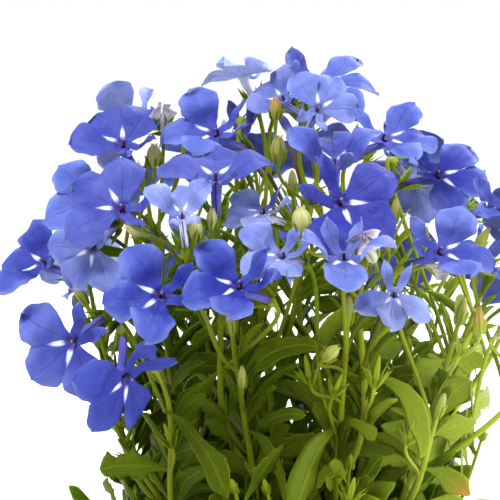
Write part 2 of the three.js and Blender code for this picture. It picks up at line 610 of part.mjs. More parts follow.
// The soil: a turned plug whose top is raised in lumps by a formula.
const inner = (z) => wallAt(z) - POT.wall - SOIL.gap;
const earth = new THREE.LatheGeometry(
  [[0, POT.floor + 0.3], [inner(POT.floor + 0.3) - 0.1, POT.floor + 0.3], [inner(SOIL.top) - 0.2, SOIL.top - 1.5], [36, SOIL.top], [24, SOIL.top], [12, SOIL.top], [0, SOIL.top]]
    .map(([x, y]) => new THREE.Vector2(x, y)), SOIL.sides).rotateX(PI / 2);
const lump = (x, y) => 0.9 * sin(0.31 * x + 1.7 * sin(0.13 * y)) * cos(0.27 * y + 0.4) + 0.5 * sin(0.55 * x - 0.47 * y);
{
  const p = earth.attributes.position;
  for (let i = 0; i < p.count; i++)
    if (p.getZ(i) > SOIL.top - 0.5) p.setZ(i, SOIL.top + lump(p.getX(i), p.getY(i)));
}
let soil = solidOf(earth);
for (const { foot } of SHOOTS) soil = soil.subtract(peg(foot[0], foot[1], SOIL.top - SOIL.hole, SOIL.top + 9, STEM.foot + 1.1, 6));

const part = new THREE.Group();
const material = (color, roughness) => new THREE.MeshStandardMaterial({ color, roughness, metalness: 0 });
const LOOK = { pot: material(0x6e4030, 0.6), soil: material(0x2e2118, 0.95), green: material(0x6f9030, 0.55), blue: material(0x3f4fc4, 0.6) };
function place(name, body, look) {
  const mesh = new THREE.Mesh(geometryOf(body), look);
  mesh.name = name;
  part.add(mesh);
}
place("pot", pot, LOOK.pot);
place("soil", soil, LOOK.soil);
for (const s of shoots) place(s.name, s.limbs.map(closed).reduce((a, b) => a.add(b)), LOOK.green);
for (const fl of flowers) place(fl.name, bloom(fl.row), LOOK.blue);
export default part;
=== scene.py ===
"""A trailing lobelia in flower in a round pot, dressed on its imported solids."""
import json
import math
from collections import namedtuple

import bpy
import numpy as np
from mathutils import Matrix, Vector, noise

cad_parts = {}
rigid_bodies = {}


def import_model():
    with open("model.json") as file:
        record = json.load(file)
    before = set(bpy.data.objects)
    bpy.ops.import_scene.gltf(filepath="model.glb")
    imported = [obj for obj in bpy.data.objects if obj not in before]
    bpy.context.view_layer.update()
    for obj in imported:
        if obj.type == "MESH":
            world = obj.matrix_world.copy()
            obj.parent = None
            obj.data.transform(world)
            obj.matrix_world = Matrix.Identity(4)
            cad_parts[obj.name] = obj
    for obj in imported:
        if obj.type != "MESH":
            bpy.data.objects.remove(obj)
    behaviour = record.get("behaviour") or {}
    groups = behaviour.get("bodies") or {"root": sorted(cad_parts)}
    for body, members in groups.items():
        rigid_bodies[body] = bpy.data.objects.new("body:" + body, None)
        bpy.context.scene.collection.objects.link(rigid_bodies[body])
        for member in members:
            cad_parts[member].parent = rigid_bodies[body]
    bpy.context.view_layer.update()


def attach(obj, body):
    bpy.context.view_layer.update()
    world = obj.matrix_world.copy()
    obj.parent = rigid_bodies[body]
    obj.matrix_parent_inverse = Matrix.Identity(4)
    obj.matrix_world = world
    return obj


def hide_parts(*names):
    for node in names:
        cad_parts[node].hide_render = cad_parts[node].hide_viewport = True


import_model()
scene = bpy.context.scene
MM = 0.001


# ------------------------------------------------------------------ the camera
# It stands 600 mm from the flower heads, six degrees over the level, and
# takes in the flowers and the upper leaves.
HEADS = Vector((-9.45, 0, 157)) * MM
HALF_VIEW, AWAY, OVER, SENSOR = 52.5, 600, math.radians(6), 36
eye = HEADS + Vector((0, -math.cos(OVER), math.sin(OVER))) * AWAY * MM
camera = bpy.data.objects.new("camera", bpy.data.cameras.new("camera"))
camera.data.sensor_width = SENSOR
camera.data.lens = SENSOR / 2 * AWAY / HALF_VIEW
camera.data.clip_start, camera.data.clip_end = 0.01, 20
camera.location = eye
camera.rotation_euler = (HEADS - eye).to_track_quat("-Z", "Y").to_euler()
scene.collection.objects.link(camera)
scene.camera = camera
scene.view_settings.view_transform = "Standard"


# ------------------------------------------------------------------ the studio
# A wide, round, white floor under soft light: a bright white sky all round,
# a broad lamp over the left shoulder, one low on the right and one behind.
class Value:
    """A number in a node tree; sums on it add Math nodes to the tree."""

    def __init__(self, board, socket):
        self.board, self.socket = board, socket

    def math(self, operation, *rest):
        ways = dict(enumerate((self, *rest)))
        return self.board.node("ShaderNodeMath", ways, operation=operation)

    def __add__(self, other):
        return self.math("ADD", other)

    def __sub__(self, other):
        return self.math("SUBTRACT", other)

    def __rsub__(self, other):
        return self.board.node("ShaderNodeMath", {0: other, 1: self}, operation="SUBTRACT")

    def __mul__(self, other):
        return self.math("MULTIPLY", other)

    __radd__, __rmul__ = __add__, __mul__

    def __abs__(self):
        return self.math("ABSOLUTE")

    def off_whole(self):
        """How far the number is from the nearest whole one, for stripes and veins."""
        return abs(self - self.math("ROUND"))

    def equals(self, number):
        """1 where the number is about this whole one, otherwise 0."""
        return self.board.rise(abs(self - number), 0.5, 0.2)


class Board:
    """A node tree that is being built."""

    def __init__(self, tree):
        self.tree = tree

    def node(self, kind, sockets=None, out=0, stops=None, **settings):
        """Adds a node: its settings first, then what its sockets hold or are linked to."""
        made = self.tree.nodes.new(kind)
        for key, held in settings.items():
            setattr(made, key, held)
        if stops:
            ramp = made.color_ramp
            for i, (place, colour) in enumerate(stops):
                stop = ramp.elements[i] if i < 2 else ramp.elements.new(place)
                stop.position, stop.color = place, (*colour, 1)
        for key, held in (sockets or {}).items():
            if isinstance(held, Value):
                self.tree.links.new(held.socket, made.inputs[key])
            else:
                made.inputs[key].default_value = held
        return Value(self, made.outputs[out]) if made.outputs else made

    def blend(self, factor, a, b):
        a, b = [c if isinstance(c, Value) else (*c, 1) for c in (a, b)]
        return self.node("ShaderNodeMix", {0: factor, 6: a, 7: b}, out=2, data_type="RGBA")

    def rise(self, value, low, high):
        """0 below low and 1 above high, smooth between; falls where low is the larger."""
        held = {"Value": value, "From Min": low, "From Max": high}
        return self.node("ShaderNodeMapRange", held, interpolation_type="SMOOTHSTEP")

    def spot(self):
        return self.node("ShaderNodeTexCoord", out="Object")

    def place(self, axis):
        """How far along X, Y or Z a point of a piece lies, in metres."""
        return self.node("ShaderNodeSeparateXYZ", {0: self.spot()}, out=axis)

    def grain(self, scale, detail=2.0):
        held = {"Vector": self.spot(), "Scale": scale, "Detail": detail}
        return self.node("ShaderNodeTexNoise", held)

    def bump(self, height, strength, distance):
        held = {"Strength": strength, "Distance": distance, "Height": height}
        return self.node("ShaderNodeBump", held)

    def marks(self, *names):
        """Numbers that a piece carries at each point."""
        return [self.node("ShaderNodeAttribute", out="Fac", attribute_name=n) for n in names]

    def scaled(self, way, by):
        return self.node("ShaderNodeVectorMath", {0: way, "Scale": by}, operation="SCALE")

    def finished(self, geometry, finish):
        """Ends a geometry tree: the geometry in its finish goes out."""
        held = {"Geometry": geometry, "Material": finish}
        self.node("NodeGroupOutput", {0: self.node("GeometryNodeSetMaterial", held)})
        return self


def finish_of(name, paint, **fixed):
    """A material: paint(board) gives what changes over the surface, fixed what doesn't."""
    material = bpy.data.materials.new(name)
    material.use_nodes = True
    board = Board(material.node_tree)
    shader = material.node_tree.nodes["Principled BSDF"]
    for key, held in fixed.items():
        shader.inputs[key.replace("_", " ")].default_value = held
    for key, held in paint(board).items():
        board.tree.links.new(held.socket, shader.inputs[key])
    return material


def mark_on(mesh, key, numbers):
    store = mesh.attributes.new(key, "FLOAT", "POINT")
    store.data.foreach_set("value", np.asarray(numbers, np.float32))


def mesh_of(name, points, faces, **marks):
    """A smooth mesh from points in millimetres, with a number a point for each mark."""
    mesh = bpy.data.meshes.new(name)
    mesh.from_pydata(np.asarray(points, float) * MM, [], faces)
    for key, numbers in marks.items():
        mark_on(mesh, key, numbers)
    mesh.shade_smooth()
    return mesh


def placed(name, mesh, *materials):
    made = bpy.data.objects.new(name, mesh)
    scene.collection.objects.link(made)
    for material in materials:
        mesh.materials.append(material)
    return made


def grid_faces(rows, columns, start=0, flip=False, loop=False):
    """Quads over rows of points; with loop, the last column joins the first."""
    faces = []
    for i in range(rows - 1):
        low, high = start + i * columns, start + (i + 1) * columns
        for j in range(columns if loop else columns - 1):
            k = (j + 1) % columns
            quad = [low + j, low + k, high + k, high + j]
            faces.append(quad[::-1] if flip else quad)
    return faces


def floor_paint(b):
    whites = [(0, (0.99, 0.99, 0.99)), (1, (1.0, 1.0, 1.0))]
    return {"Base Color": b.node("ShaderNodeValToRGB", {0: b.grain(3.0)}, stops=whites)}


FLOOR_RADIUS, FLOOR_SIDES = 5000, 96
rim = [
    (FLOOR_RADIUS * math.cos(q), FLOOR_RADIUS * math.sin(q), 0)
    for q in np.linspace(0, 2 * math.pi, FLOOR_SIDES, endpoint=False)
]
white = finish_of("studio floor", floor_paint, Roughness=0.9, Specular_IOR_Level=0.1)
floor = placed("floor", mesh_of("floor", rim, [tuple(range(FLOOR_SIDES))]), white)


def lamp(name, place, size, watts, aim=HEADS):
    light = bpy.data.objects.new(name, bpy.data.lights.new(name, "AREA"))
    light.data.shape, light.data.size, light.data.energy = "DISK", size, watts
    light.location = place
    light.rotation_euler = (aim - Vector(place)).to_track_quat("-Z", "Y").to_euler()
    scene.collection.objects.link(light)


lamp("key", (-0.4, -0.55, 1.2), 0.5, 27)
lamp("fill", (1.05, -0.2, 0.5), 0.7, 13)
lamp("rear", (0.35, 0.95, 0.9), 0.9, 13)
sky = bpy.data.worlds.new("sky")
sky.use_nodes = True
glow = sky.node_tree.nodes["Background"].inputs
glow["Color"].default_value, glow["Strength"].default_value = (1, 1, 1, 1), 1.0
scene.world = sky


# --------------------------------------------------------------------- the pot
# A nursery pot of matt clay-brown plastic, moulded in one, with a turned-out
# rim, a shallow step under it and three drain holes through its floor.
RIM, FOOT, HIGH, WALL, FLOOR_THICK, LIP, LIP_HIGH = 52.5, 37, 88, 1.8, 2.6, 3.2, 9
HOLLOW, FOOT_RING, SOFTENED, ROUND_STEPS = 0.8, 9, 0.9, 120
DRAINS, DRAIN_RADIUS, DRAIN_OUT, PAST = 3, 4, 22, 3
slope = (RIM - LIP - FOOT) / (HIGH - LIP_HIGH)


def wall_at(z):
    return FOOT + slope * z


def lathe(section, steps):
    """Turns a section of (radius, height) pairs; a radius of 0 is a pole."""
    points, rows, faces = [], [], []
    for r, z in section:
        turns = 1 if r == 0 else steps
        rows.append([len(points) + k for k in range(turns)])
        for k in range(turns):
            q = 2 * math.pi * k / steps
            points.append((r * math.cos(q), r * math.sin(q), z))
    for low, high in zip(rows, rows[1:]):
        for k in range(steps):
            j = (k + 1) % steps
            ring = [low[k % len(low)], low[j % len(low)], high[j % len(high)], high[k % len(high)]]
            face = list(dict.fromkeys(ring))
            if len(face) > 2:
                faces.append(face)
    return points, faces


def rounded(section, radius, steps=3):
    """The section with its sharp corners, save the first and last, turned to arcs."""
    out = [section[0]]
    for a, b, c in zip(section, section[1:], section[2:]):
        a, b, c = Vector(a), Vector(b), Vector(c)
        cut = min(radius, 0.4 * (a - b).length, 0.4 * (c - b).length)
        p, q = b + (a - b).normalized() * cut, b + (c - b).normalized() * cut
        for k in range(steps + 1):
            t = k / steps
            out.append(tuple((1 - t) ** 2 * p + 2 * t * (1 - t) * b + t * t * q))
    return out + [section[-1]]


def plain_mesh_of(made):
    """The mesh that an object's modifiers make; the modifiers go."""
    bpy.context.view_layer.update()
    graph = bpy.context.evaluated_depsgraph_get()
    result = bpy.data.meshes.new_from_object(made.evaluated_get(graph))
    made.modifiers.clear()
    return result


def pot_paint(b):
    fine, broad = b.grain(900, 3), b.grain(45, 4)
    scuff = b.rise(b.grain(160, 6), 0.58, 0.72)
    base = b.blend(broad, (0.115, 0.045, 0.027), (0.155, 0.066, 0.040))
    base = b.blend(scuff * 0.35, base, (0.24, 0.13, 0.09))
    dusty = b.rise(b.place("Z"), 0.03, 0.0) * broad
    base = b.blend(dusty * 0.5, base, (0.20, 0.13, 0.09))
    bump = b.bump(fine + broad * 2, 0.25, 0.0002)
    return {"Base Color": base, "Roughness": 0.5 + 0.2 * broad + scuff * 0.1, "Normal": bump}


inner = [(wall_at(HIGH) - WALL, HIGH), (wall_at(FLOOR_THICK) - WALL, FLOOR_THICK)]
under_rim = HIGH - LIP_HIGH
section = [
    (0, HOLLOW), (FOOT - FOOT_RING, HOLLOW), (FOOT - FOOT_RING + 1.5, 0), (FOOT, 0),
    (wall_at(under_rim), under_rim), (RIM - 0.6, under_rim), (RIM, HIGH - 1.2), (RIM - 0.9, HIGH),
    *inner, (0, FLOOR_THICK),
]
brown = finish_of("matt brown plastic", pot_paint, Specular_IOR_Level=0.4)
shell_of_pot = mesh_of("pot_shell", *lathe(rounded(section, SOFTENED), ROUND_STEPS))
pot = placed("pot_shell", shell_of_pot, brown)
through = FLOOR_THICK + PAST
pin, pin_faces = lathe(
    [(0, -PAST), (DRAIN_RADIUS, -PAST), (DRAIN_RADIUS, through), (0, through)], 40
)
for k in range(DRAINS):
    a = math.radians(k * 120 + 30)
    there = np.array(pin) + (DRAIN_OUT * math.cos(a), DRAIN_OUT * math.sin(a), 0)
    cut = pot.modifiers.new("drain", "BOOLEAN")
    cut.object = placed(f"drill_{k}", mesh_of("drill", there, pin_faces))
    cut.operation, cut.solver = "DIFFERENCE", "EXACT"
pot.data = plain_mesh_of(pot)
pot.data.set_sharp_from_angle(angle=math.radians(40))
for k in range(DRAINS):
    bpy.data.objects.remove(bpy.data.objects[f"drill_{k}"])
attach(pot, "root")
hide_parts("pot")


# -------------------------------------------------------------------- the soil
# Dark peaty compost that fills the pot to a thumb's width under its rim. Its
# top is lumpy, and loose crumbs and grains of perlite lie on it.
SOIL_TOP, SOIL_RINGS = 80, 64
soil_foot, soil_edge = FLOOR_THICK + 0.3, wall_at(SOIL_TOP) - WALL - 0.4


def lumpy(x, y, z):
    """A point of the soil, raised or sunk where it lies on the top."""
    if z < SOIL_TOP - 1:
        return x, y, z
    swell = 0.9 * math.sin(0.31 * x + 1.7 * math.sin(0.13 * y)) * math.cos(0.27 * y + 0.4)
    lump = swell + 0.5 * math.sin(0.55 * x - 0.47 * y)
    clod, crumb = noise.noise((x * 0.35, y * 0.35, 1)), noise.noise((x * 1.1, y * 1.1, 4))
    return x, y, z + 0.8 * lump + 0.9 * clod + 0.5 * crumb


def soil_paint(b):
    fine, broad = b.grain(700, 8), b.grain(90, 5)
    browns = [
        (0.3, (0.010, 0.006, 0.004)), (0.75, (0.075, 0.045, 0.028)), (0.55, (0.030, 0.018, 0.011))
    ]
    base = b.node("ShaderNodeValToRGB", {0: fine}, stops=browns)
    base = b.blend(b.rise(broad, 0.4, 0.7) * 0.6, base, (0.020, 0.012, 0.008))
    bump = b.bump(fine, 0.8, 0.0006)
    return {"Base Color": base, "Roughness": 0.85 + 0.1 * fine, "Normal": bump}


def perlite_paint(b):
    fine = b.grain(1500, 4)
    bump = b.bump(fine, 0.5, 0.0003)
    return {"Base Color": b.blend(fine, (0.55, 0.50, 0.43), (0.82, 0.80, 0.76)), "Normal": bump}


def group_of(name, **kinds):
    """A geometry tree with a mesh in and out and the named inputs."""
    tree = bpy.data.node_groups.new(name, "GeometryNodeTree")
    tree.interface.new_socket("Geometry", in_out="OUTPUT", socket_type="NodeSocketGeometry")
    tree.interface.new_socket("Geometry", in_out="INPUT", socket_type="NodeSocketGeometry")
    for key, kind in kinds.items():
        tree.interface.new_socket(key, in_out="INPUT", socket_type="NodeSocket" + kind)
    board = Board(tree)
    return board, lambda key: board.node("NodeGroupInput", out=key)


def shaped(name, mesh, board, **inputs):
    """An object holding the plain mesh that the tree makes of a mesh."""
    made = placed(name, mesh)
    step = made.modifiers.new("shape", "NODES")
    step.node_group = board.tree
    for item in board.tree.interface.items_tree:
        if item.in_out == "INPUT" and item.name in inputs:
            step[item.identifier] = inputs[item.name]
    made.data = plain_mesh_of(made)
    return made


def crumb_tree():
    """Rough grains strewn over the top faces, each turned and sized at random."""
    b, given = group_of(
        "strewn crumbs", Density="Float", Seed="Int", Least="Float", Most="Float", Finish="Material"
    )

    def drawn(low, high, seed):
        held = {2: low, 3: high, "Seed": seed}
        return b.node("FunctionNodeRandomValue", held, out=1, data_type="FLOAT")

    upward = b.node("ShaderNodeSeparateXYZ", {0: b.node("GeometryNodeInputNormal")}, out=2)
    top = b.node("FunctionNodeCompare", {0: upward, 1: 0.6}, operation="GREATER_THAN")
    seed = given("Seed")
    held = {"Mesh": given("Geometry"), "Selection": top, "Density": given("Density"), "Seed": seed}
    spots = b.node("GeometryNodeDistributePointsOnFaces", held)
    grain = b.node("GeometryNodeMeshIcoSphere", {"Radius": 1.0, "Subdivisions": 1})
    held = {0: (0, 0, 0), 1: (6.28, 6.28, 6.28), "Seed": seed}
    turn = b.node("FunctionNodeRandomValue", held, data_type="FLOAT_VECTOR")
    sized, squash = drawn(given("Least"), given("Most"), seed), drawn(0.5, 0.9, 7)
    scale = b.node("ShaderNodeCombineXYZ", {0: sized, 1: sized * squash, 2: sized * 0.6})
    held = {"Points": spots, "Instance": grain, "Rotation": turn, "Scale": scale}
    strewn = b.node("GeometryNodeInstanceOnPoints", held)
    real = b.node("GeometryNodeRealizeInstances", {"Geometry": strewn})
    rough = b.node("ShaderNodeTexNoise", {"Scale": 900.0, "Detail": 1.0}, out=1)
    shift = b.node("ShaderNodeVectorMath", {0: rough, 1: (0.5, 0.5, 0.5)}, operation="SUBTRACT")
    worn = b.node("GeometryNodeSetPosition", {"Geometry": real, "Offset": b.scaled(shift, 0.0012)})
    return b.finished(worn, given("Finish"))


plug = [(0, soil_foot), (wall_at(3) - WALL - 0.5, soil_foot), (soil_edge - 0.1, SOIL_TOP - 2)]
plug += [(r, SOIL_TOP) for r in [*np.linspace(1, soil_edge - 0.5, SOIL_RINGS)[::-1], 0]]
points, faces = lathe(plug, ROUND_STEPS)
compost = finish_of("peaty compost", soil_paint, Specular_IOR_Level=0.2)
perlite = finish_of("perlite", perlite_paint, Roughness=0.9)
soil = placed("soil_plug", mesh_of("soil_plug", [lumpy(*p) for p in points], faces), compost)
crumbs = crumb_tree()
loose = [
    shaped(
        name, soil.data.copy(), crumbs, Density=density, Seed=seed, Least=least, Most=most,
        Finish=finish
    )
    for name, density, seed, least, most, finish in (
        ("soil_crumbs", 230000.0, 3, 0.0003, 0.0012, compost),
        ("soil_perlite", 9000.0, 11, 0.0005, 0.0013, perlite),
    )
]
for piece in [soil, *loose]:
    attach(piece, "root")
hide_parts("soil")


# ------------------------------------------------------------------ the stems
# Slender, ridged green stems, eleven shoots that fork low and again higher.
# Every flower has its own thin stalk, which swells into a cup under the tube.

# each shoot's foot, and its limbs' tips with the share of the first where each forks off
SHOOTS = [
    ((-15, -16), [(-39, -22, 128, 0), (-27, -33, 134, 0.45), (-43, -10, 146, 0.6)]),
    ((-18, -3), [(-34, -3, 163, 0), (-28, -16, 155, 0.5)]),
    ((-6, -20), [(-13, -30, 143, 0), (-17, -22, 157, 0.55)]),
    ((7, -20), [(10, -31, 145, 0), (14, -23, 156, 0.5)]),
    ((-2, -8), [(-10, -11, 163, 0), (3, -6, 166, 0.6)]),
    ((12, -8), [(20, -9, 163, 0), (11, -13, 164, 0.6)]),
    ((18, -16), [(33, -17, 143, 0), (28, -29, 126, 0.4), (46, -22, 132, 0.5)]),
    ((20, 3), [(40, 0, 150, 0), (44, 12, 136, 0.5), (70, -8, 72, 0.08)]),
    ((3, 12), [(0, 22, 166, 0), (-9, 32, 146, 0.5), (14, 33, 148, 0.6)]),
    ((-14, 13), [(-30, 20, 152, 0), (-44, 12, 138, 0.5), (-46, 52, 64, 0.08)]),
    ((15, 17), [(28, 24, 154, 0), (22, 40, 132, 0.5), (24, 68, 62, 0.08)]),
]
# each flower's shoot, the place of its throat, the way it faces, its roll and size, and
# how far its side lobes rise and spread
Bloom = namedtuple("Bloom", "shoot x y z turn lift roll size rise spread")
BLOOMS = [
    (0, -52.4, -8, 155.3, -40, 45, 80, 0.95, 30, 62),
    (0, -44.9, -31, 141.9, -10, 5, 47, 1.05, 5, 68),
    (0, -33.4, -42.5, 136.2, 48, -12, 30, 1.1, 5, 60),
    (2, -26.7, -46, 153.1, 5, 32, 82, 1, 25, 64),
    (1, -35.1, -30, 168.6, -5, 38, 118, 1.1, 10, 60),
    (1, -41.5, -10, 168, -10, 42, 68, 0.95, 25, 62),
    (0, -41, -28, 160.5, -20, 10, 30, 0.85, 10, 60),
    (1, -34.5, 2, 184, -150, 25, -80, 1, 10, 60),
    (1, -35.5, -12, 180.3, 0, 50, 145, 1, 15, 64),
    (4, -16.5, -14, 182.6, -5, 54, 82, 0.98, 28, 62),
    (2, -16.2, -33, 175, 0, 64, 178, 1.04, 15, 70),
    (2, -22.6, -45.5, 168.6, 0, 48, 172, 0.76, 35, 50),
    (4, -10.7, 3, 193.5, 180, 60, 208, 0.78, 0, 62),
    (4, -2.8, -5, 189.2, -20, 50, 110, 0.72, 20, 60),
    (4, 5.6, 0, 192.6, 10, 60, -82, 1.05, 10, 48),
    (5, 4.5, -15, 187.5, 10, 25, -150, 0.8, 5, 60),
    (5, 7.5, -25, 177.3, 0, 65, 180, 1, 35, 62),
    (3, 8.5, -36, 170.3, 5, 32, -52, 1.08, 15, 68),
    (5, 18.2, -15, 181.7, 5, 55, -84, 0.95, 20, 56),
    (6, 29.6, -7, 173.5, 10, 44, -70, 0.97, 5, 62),
    (7, 42.5, -14, 167, 10, 30, -80, 1, 25, 62),
    (6, 28.8, -28, 159.8, 10, 48, -82, 1, 28, 64),
    (7, 25, 11, 171, 160, 15, 20, 0.9, 0, 60),
    (3, 8.6, -51, 161, 0, 66, 0, 0.95, 40, 66),
    (3, 18.6, -44, 153, 5, 46, 10, 0.74, 0, 60),
    (2, -11.6, -50, 155.5, 5, 52, 78, 1, 22, 62),
    (3, -3.2, -43, 160.5, 5, 52, 62, 0.8, 30, 62),
    (4, -7, -31, 168, -5, 60, 70, 0.72, 20, 60),
    (4, -11, 6, 181, 178, 25, 0, 0.85, 5, 58),
    (6, 46, -12, 153, 20, 20, -60, 0.85, 10, 60),
    (9, -46, 4, 157.4, -165, 15, 10, 0.9, 0, 60),
    (9, -38, 24, 166, -125, 40, 60, 1, 15, 62),
    (8, -20, 34, 176, -150, 45, -40, 1, 10, 62),
    (8, 2, 36, 178, 180, 40, 20, 1.05, 5, 64),
    (10, 24, 30, 174, 150, 45, 50, 1, 20, 60),
    (7, 42, 16, 164, 115, 40, -30, 0.95, 10, 62),
    (9, -43, 32, 149, -125, 30, -60, 0.95, 10, 62),
    (8, -26, 44, 152, -145, 25, 30, 1, 5, 66),
    (8, -2, 50, 155, 180, 28, -50, 1, 15, 60),
    (10, 22, 46, 152, 160, 30, 40, 1.05, 10, 62),
    (10, 42, 32, 150, 130, 30, -20, 1, 5, 64),
    (7, 54, 12, 142, 100, 25, 60, 0.95, 20, 60),
    (8, 5, 18, 187, 170, 66, 0, 0.95, 5, 62),
    (6, 54, -24, 144, 50, 30, -40, 0.95, 10, 62),
    (7, 74, -10, 84, 70, 30, 40, 0.9, 10, 62),
    (9, -49, 56, 77, -140, 30, -50, 0.9, 15, 60),
    (10, 26, 72, 76, 165, 30, 30, 0.9, 5, 62),
]
RAD, UP = math.pi / 180, (0, 0, 1)
sin, cos, hypot = math.sin, math.cos, math.hypot


def add(a, b, k=1):
    return (a[0] + b[0] * k, a[1] + b[1] * k, a[2] + b[2] * k)


def mix(a, b, t):
    return add(a, add(b, a, -1), t)


def swing(a, b, q):
    """The direction that lies at angle q from a toward b; the two stand square."""
    return add(add((0, 0, 0), a, cos(q)), b, sin(q))


def dot(a, b):
    return a[0] * b[0] + a[1] * b[1] + a[2] * b[2]


def cross(a, b):
    return (a[1] * b[2] - a[2] * b[1], a[2] * b[0] - a[0] * b[2], a[0] * b[1] - a[1] * b[0])


def unit(a):
    return add((0, 0, 0), a, 1 / (hypot(*a) or 1))


def far(a, b):
    return hypot(a[0] - b[0], a[1] - b[1], a[2] - b[2])


def draw(seed):
    """A repeatable stream of numbers from 0 to 1 for one seed."""
    a, full = seed, 0xFFFFFFFF
    while True:
        a = (a + 0x6D2B79F5) & full
        t = (a ^ (a >> 15)) * (1 | a) & full
        t = (t + ((t ^ (t >> 7)) * (61 | t) & full)) & full ^ t
        yield ((t ^ (t >> 14)) & full) / 4294967296


def stray(chance, width):
    """A random number to either side of 0, over the width given."""
    return width * (next(chance) - 0.5)


room, CELL = {}, 3


def cell(p):
    return (math.floor(p[0] / CELL), math.floor(p[1] / CELL), math.floor(p[2] / CELL))


def take(owner, points, radius):
    """Notes that these points, as balls of the radius given, belong to the owner."""
    for p in points:
        room.setdefault(cell(p), []).append((p, radius, owner))


def free(skip, points, radius, gap=0.45):
    """Whether the points are clear of all that is there, save the owners to skip."""
    for p in points:
        x, y, z = cell(p)
        for i in (x - 1, x, x + 1):
            for j in (y - 1, y, y + 1):
                for k in (z - 1, z, z + 1):
                    for q, r, who in room.get((i, j, k), ()):
                        if who not in skip and far(p, q) < radius + r + gap:
                            return False
    return True


def along(c, t):
    """A point of a curve with four control points."""
    s = 1 - t
    w = (s * s * s, 3 * s * s * t, 3 * s * t * t, t * t * t)
    return tuple(
        w[0] * c[0][i] + w[1] * c[1][i] + w[2] * c[2][i] + w[3] * c[3][i] for i in range(3)
    )


def walk(c, n):
    return [along(c, i / n) for i in range(n + 1)]


def length_of(c):
    w = walk(c, 12)
    return sum(far(p, q) for p, q in zip(w, w[1:]))


HOLE, HOLE_GAP, FIRST_JOINT, JOINT_STEP, STALK_LONG, TRIES = 9, 0.4, 13, 15, 16, 60
STEM_FOOT, STEM_SIDE, STEM_TIP, STALK, SIDES = 1.15, 0.9, 0.65, 0.55, 5
TUBE, LEAN = 8, 48 * RAD
CUP_LONG, CUP_WIDE, CUP_NECK, CUP_GAP = 4.6, 3, 2.6, 0.95
# the bud past a limb's tip: how far on, and the radius there
LIMB_END = [(1.8, 1.25), (3.9, 1.1), (6, 0.35)]


def curves_of(foot, limbs):
    """The first limb rises from the soil; the others fork from it, or arch over the rim."""
    foot, curves = (*foot, SOIL_TOP - HOLE + HOLE_GAP), []
    for x, y, z, leave in limbs:
        tip = (x, y, z)
        if not curves:
            hold = add(foot, UP, 0.48 * (z - foot[2]))
            curves.append((foot, hold, add(tip, (x - foot[0], y - foot[1], 60), -0.4), tip))
            continue
        start = along(curves[0], leave + (0.14 if leave < 0.1 else 0))
        way = unit(add(along(curves[0], leave + 0.16), start, -1))
        span, out = far(start, tip), unit((x - start[0], y - start[1], 0))
        if z < SOIL_TOP:
            hold = add(add(start, out, 0.34 * span), UP, 22)
            back = add(add(tip, out, -0.02 * span), UP, 26)
        else:
            hold = add(start, unit(mix(way, out, 0.5)), 0.35 * span)
            back = add(tip, unit(add(mix(way, out, 0.35), (0, 0, 0.5))), -0.3 * span)
        curves.append((start, hold, back, tip))
    return curves


def frames_of(path):
    """The direction and two sides at each point of a path, turned little from one to the next."""
    out, side = [], None
    for i, p in enumerate(path):
        way = unit(add(path[min(i + 1, len(path) - 1)], path[max(i - 1, 0)], -1))
        side = side or cross(way, (1, 0, 0) if abs(way[2]) > 0.9 else UP)
        side = unit(add(side, way, -dot(side, way)))
        out.append((p, way, side, cross(way, side)))
    return out


def limb_of(name, curve, thick, sunk, trails):
    """A limb with its joints, a ring of corners at each, and the bud that ends it."""
    long = length_of(curve)
    n = max(3, math.floor((long - sunk) / JOINT_STEP + 0.5))
    ts = [0] + ([sunk / long] if sunk else [])
    ts += [(sunk + (i + 1) * (long - sunk) / n) / long for i in range(n)]
    path = [along(curve, t) for t in ts]
    way = unit(add(curve[3], curve[2], -1))
    radii = [thick + (STEM_TIP - thick) * t for t in ts]
    for d, r in LIMB_END:
        path.append(add(curve[3], way, d))
        radii.append(r)
    turns = [2 * math.pi * k / SIDES for k in range(SIDES)]
    rings = [
        [add(add(p, side, r * cos(a)), up, r * sin(a)) for a in turns]
        for (p, _, side, up), r in zip(frames_of(path), radii)
    ]
    limb = {"name": name, "curve": curve, "thick": thick, "rings": rings, "way": way}
    return {**limb, "taken": set(), "joints": len(ts) - 1, "trails": trails}


def face_of(limb, i, k, v=0.5):
    """A flat of a stem between two joints: where leaves and stalks spring from."""
    j = (k + 1) % SIDES
    low, high = limb["rings"][i:i + 2]
    a, b, c, d = low[k], low[j], high[j], high[k]
    at = mix(mix(a, b, 0.5), mix(c, d, 0.5), v)
    rise = unit(add(mix(c, d, 0.5), mix(a, b, 0.5), -1))
    across = unit(add(add(b, a, -1), rise, -dot(add(b, a, -1), rise)))
    return {"key": i * 10 + k, "at": at, "rise": rise, "across": across, "out": cross(across, rise)}


def heading(turn, lift):
    """The direction at these degrees to the right of straight ahead and over the level."""
    t, l = turn * RAD, lift * RAD
    return (sin(t) * cos(l), -cos(t) * cos(l), sin(l))


def axes_of(bloom):
    """A flower faces along n, d points down its lower lip, its tube runs back along a."""
    at, n = (bloom.x, bloom.y, bloom.z), heading(bloom.turn, bloom.lift)
    right = (cos(bloom.turn * RAD), sin(bloom.turn * RAD), 0)
    up = add((0, 0, 0), cross(right, n), -1)
    head = add((0, 0, 0), up, -1) if dot(up, UP) < 0 else up
    d = add((0, 0, 0), swing(head, right, bloom.roll * RAD), -1)
    return {"at": at, "n": n, "d": d, "s": cross(d, n), "a": swing(n, d, LEAN)}


def heel(bloom, f):
    return add(f["at"], f["a"], -TUBE * bloom.size)


BROAD = [(4.5, 2.5, 0.1), (7.7, 4.3, 0.1), (10.6, 2.3, -0.7)]
NARROW = [(5, 1.6, 0.2), (9, 0, 0.9)]
LOW_RISE, UPPER_TURN, UPPER_RISE, FULL_WIDTH = 4, 152, 28, 0.61


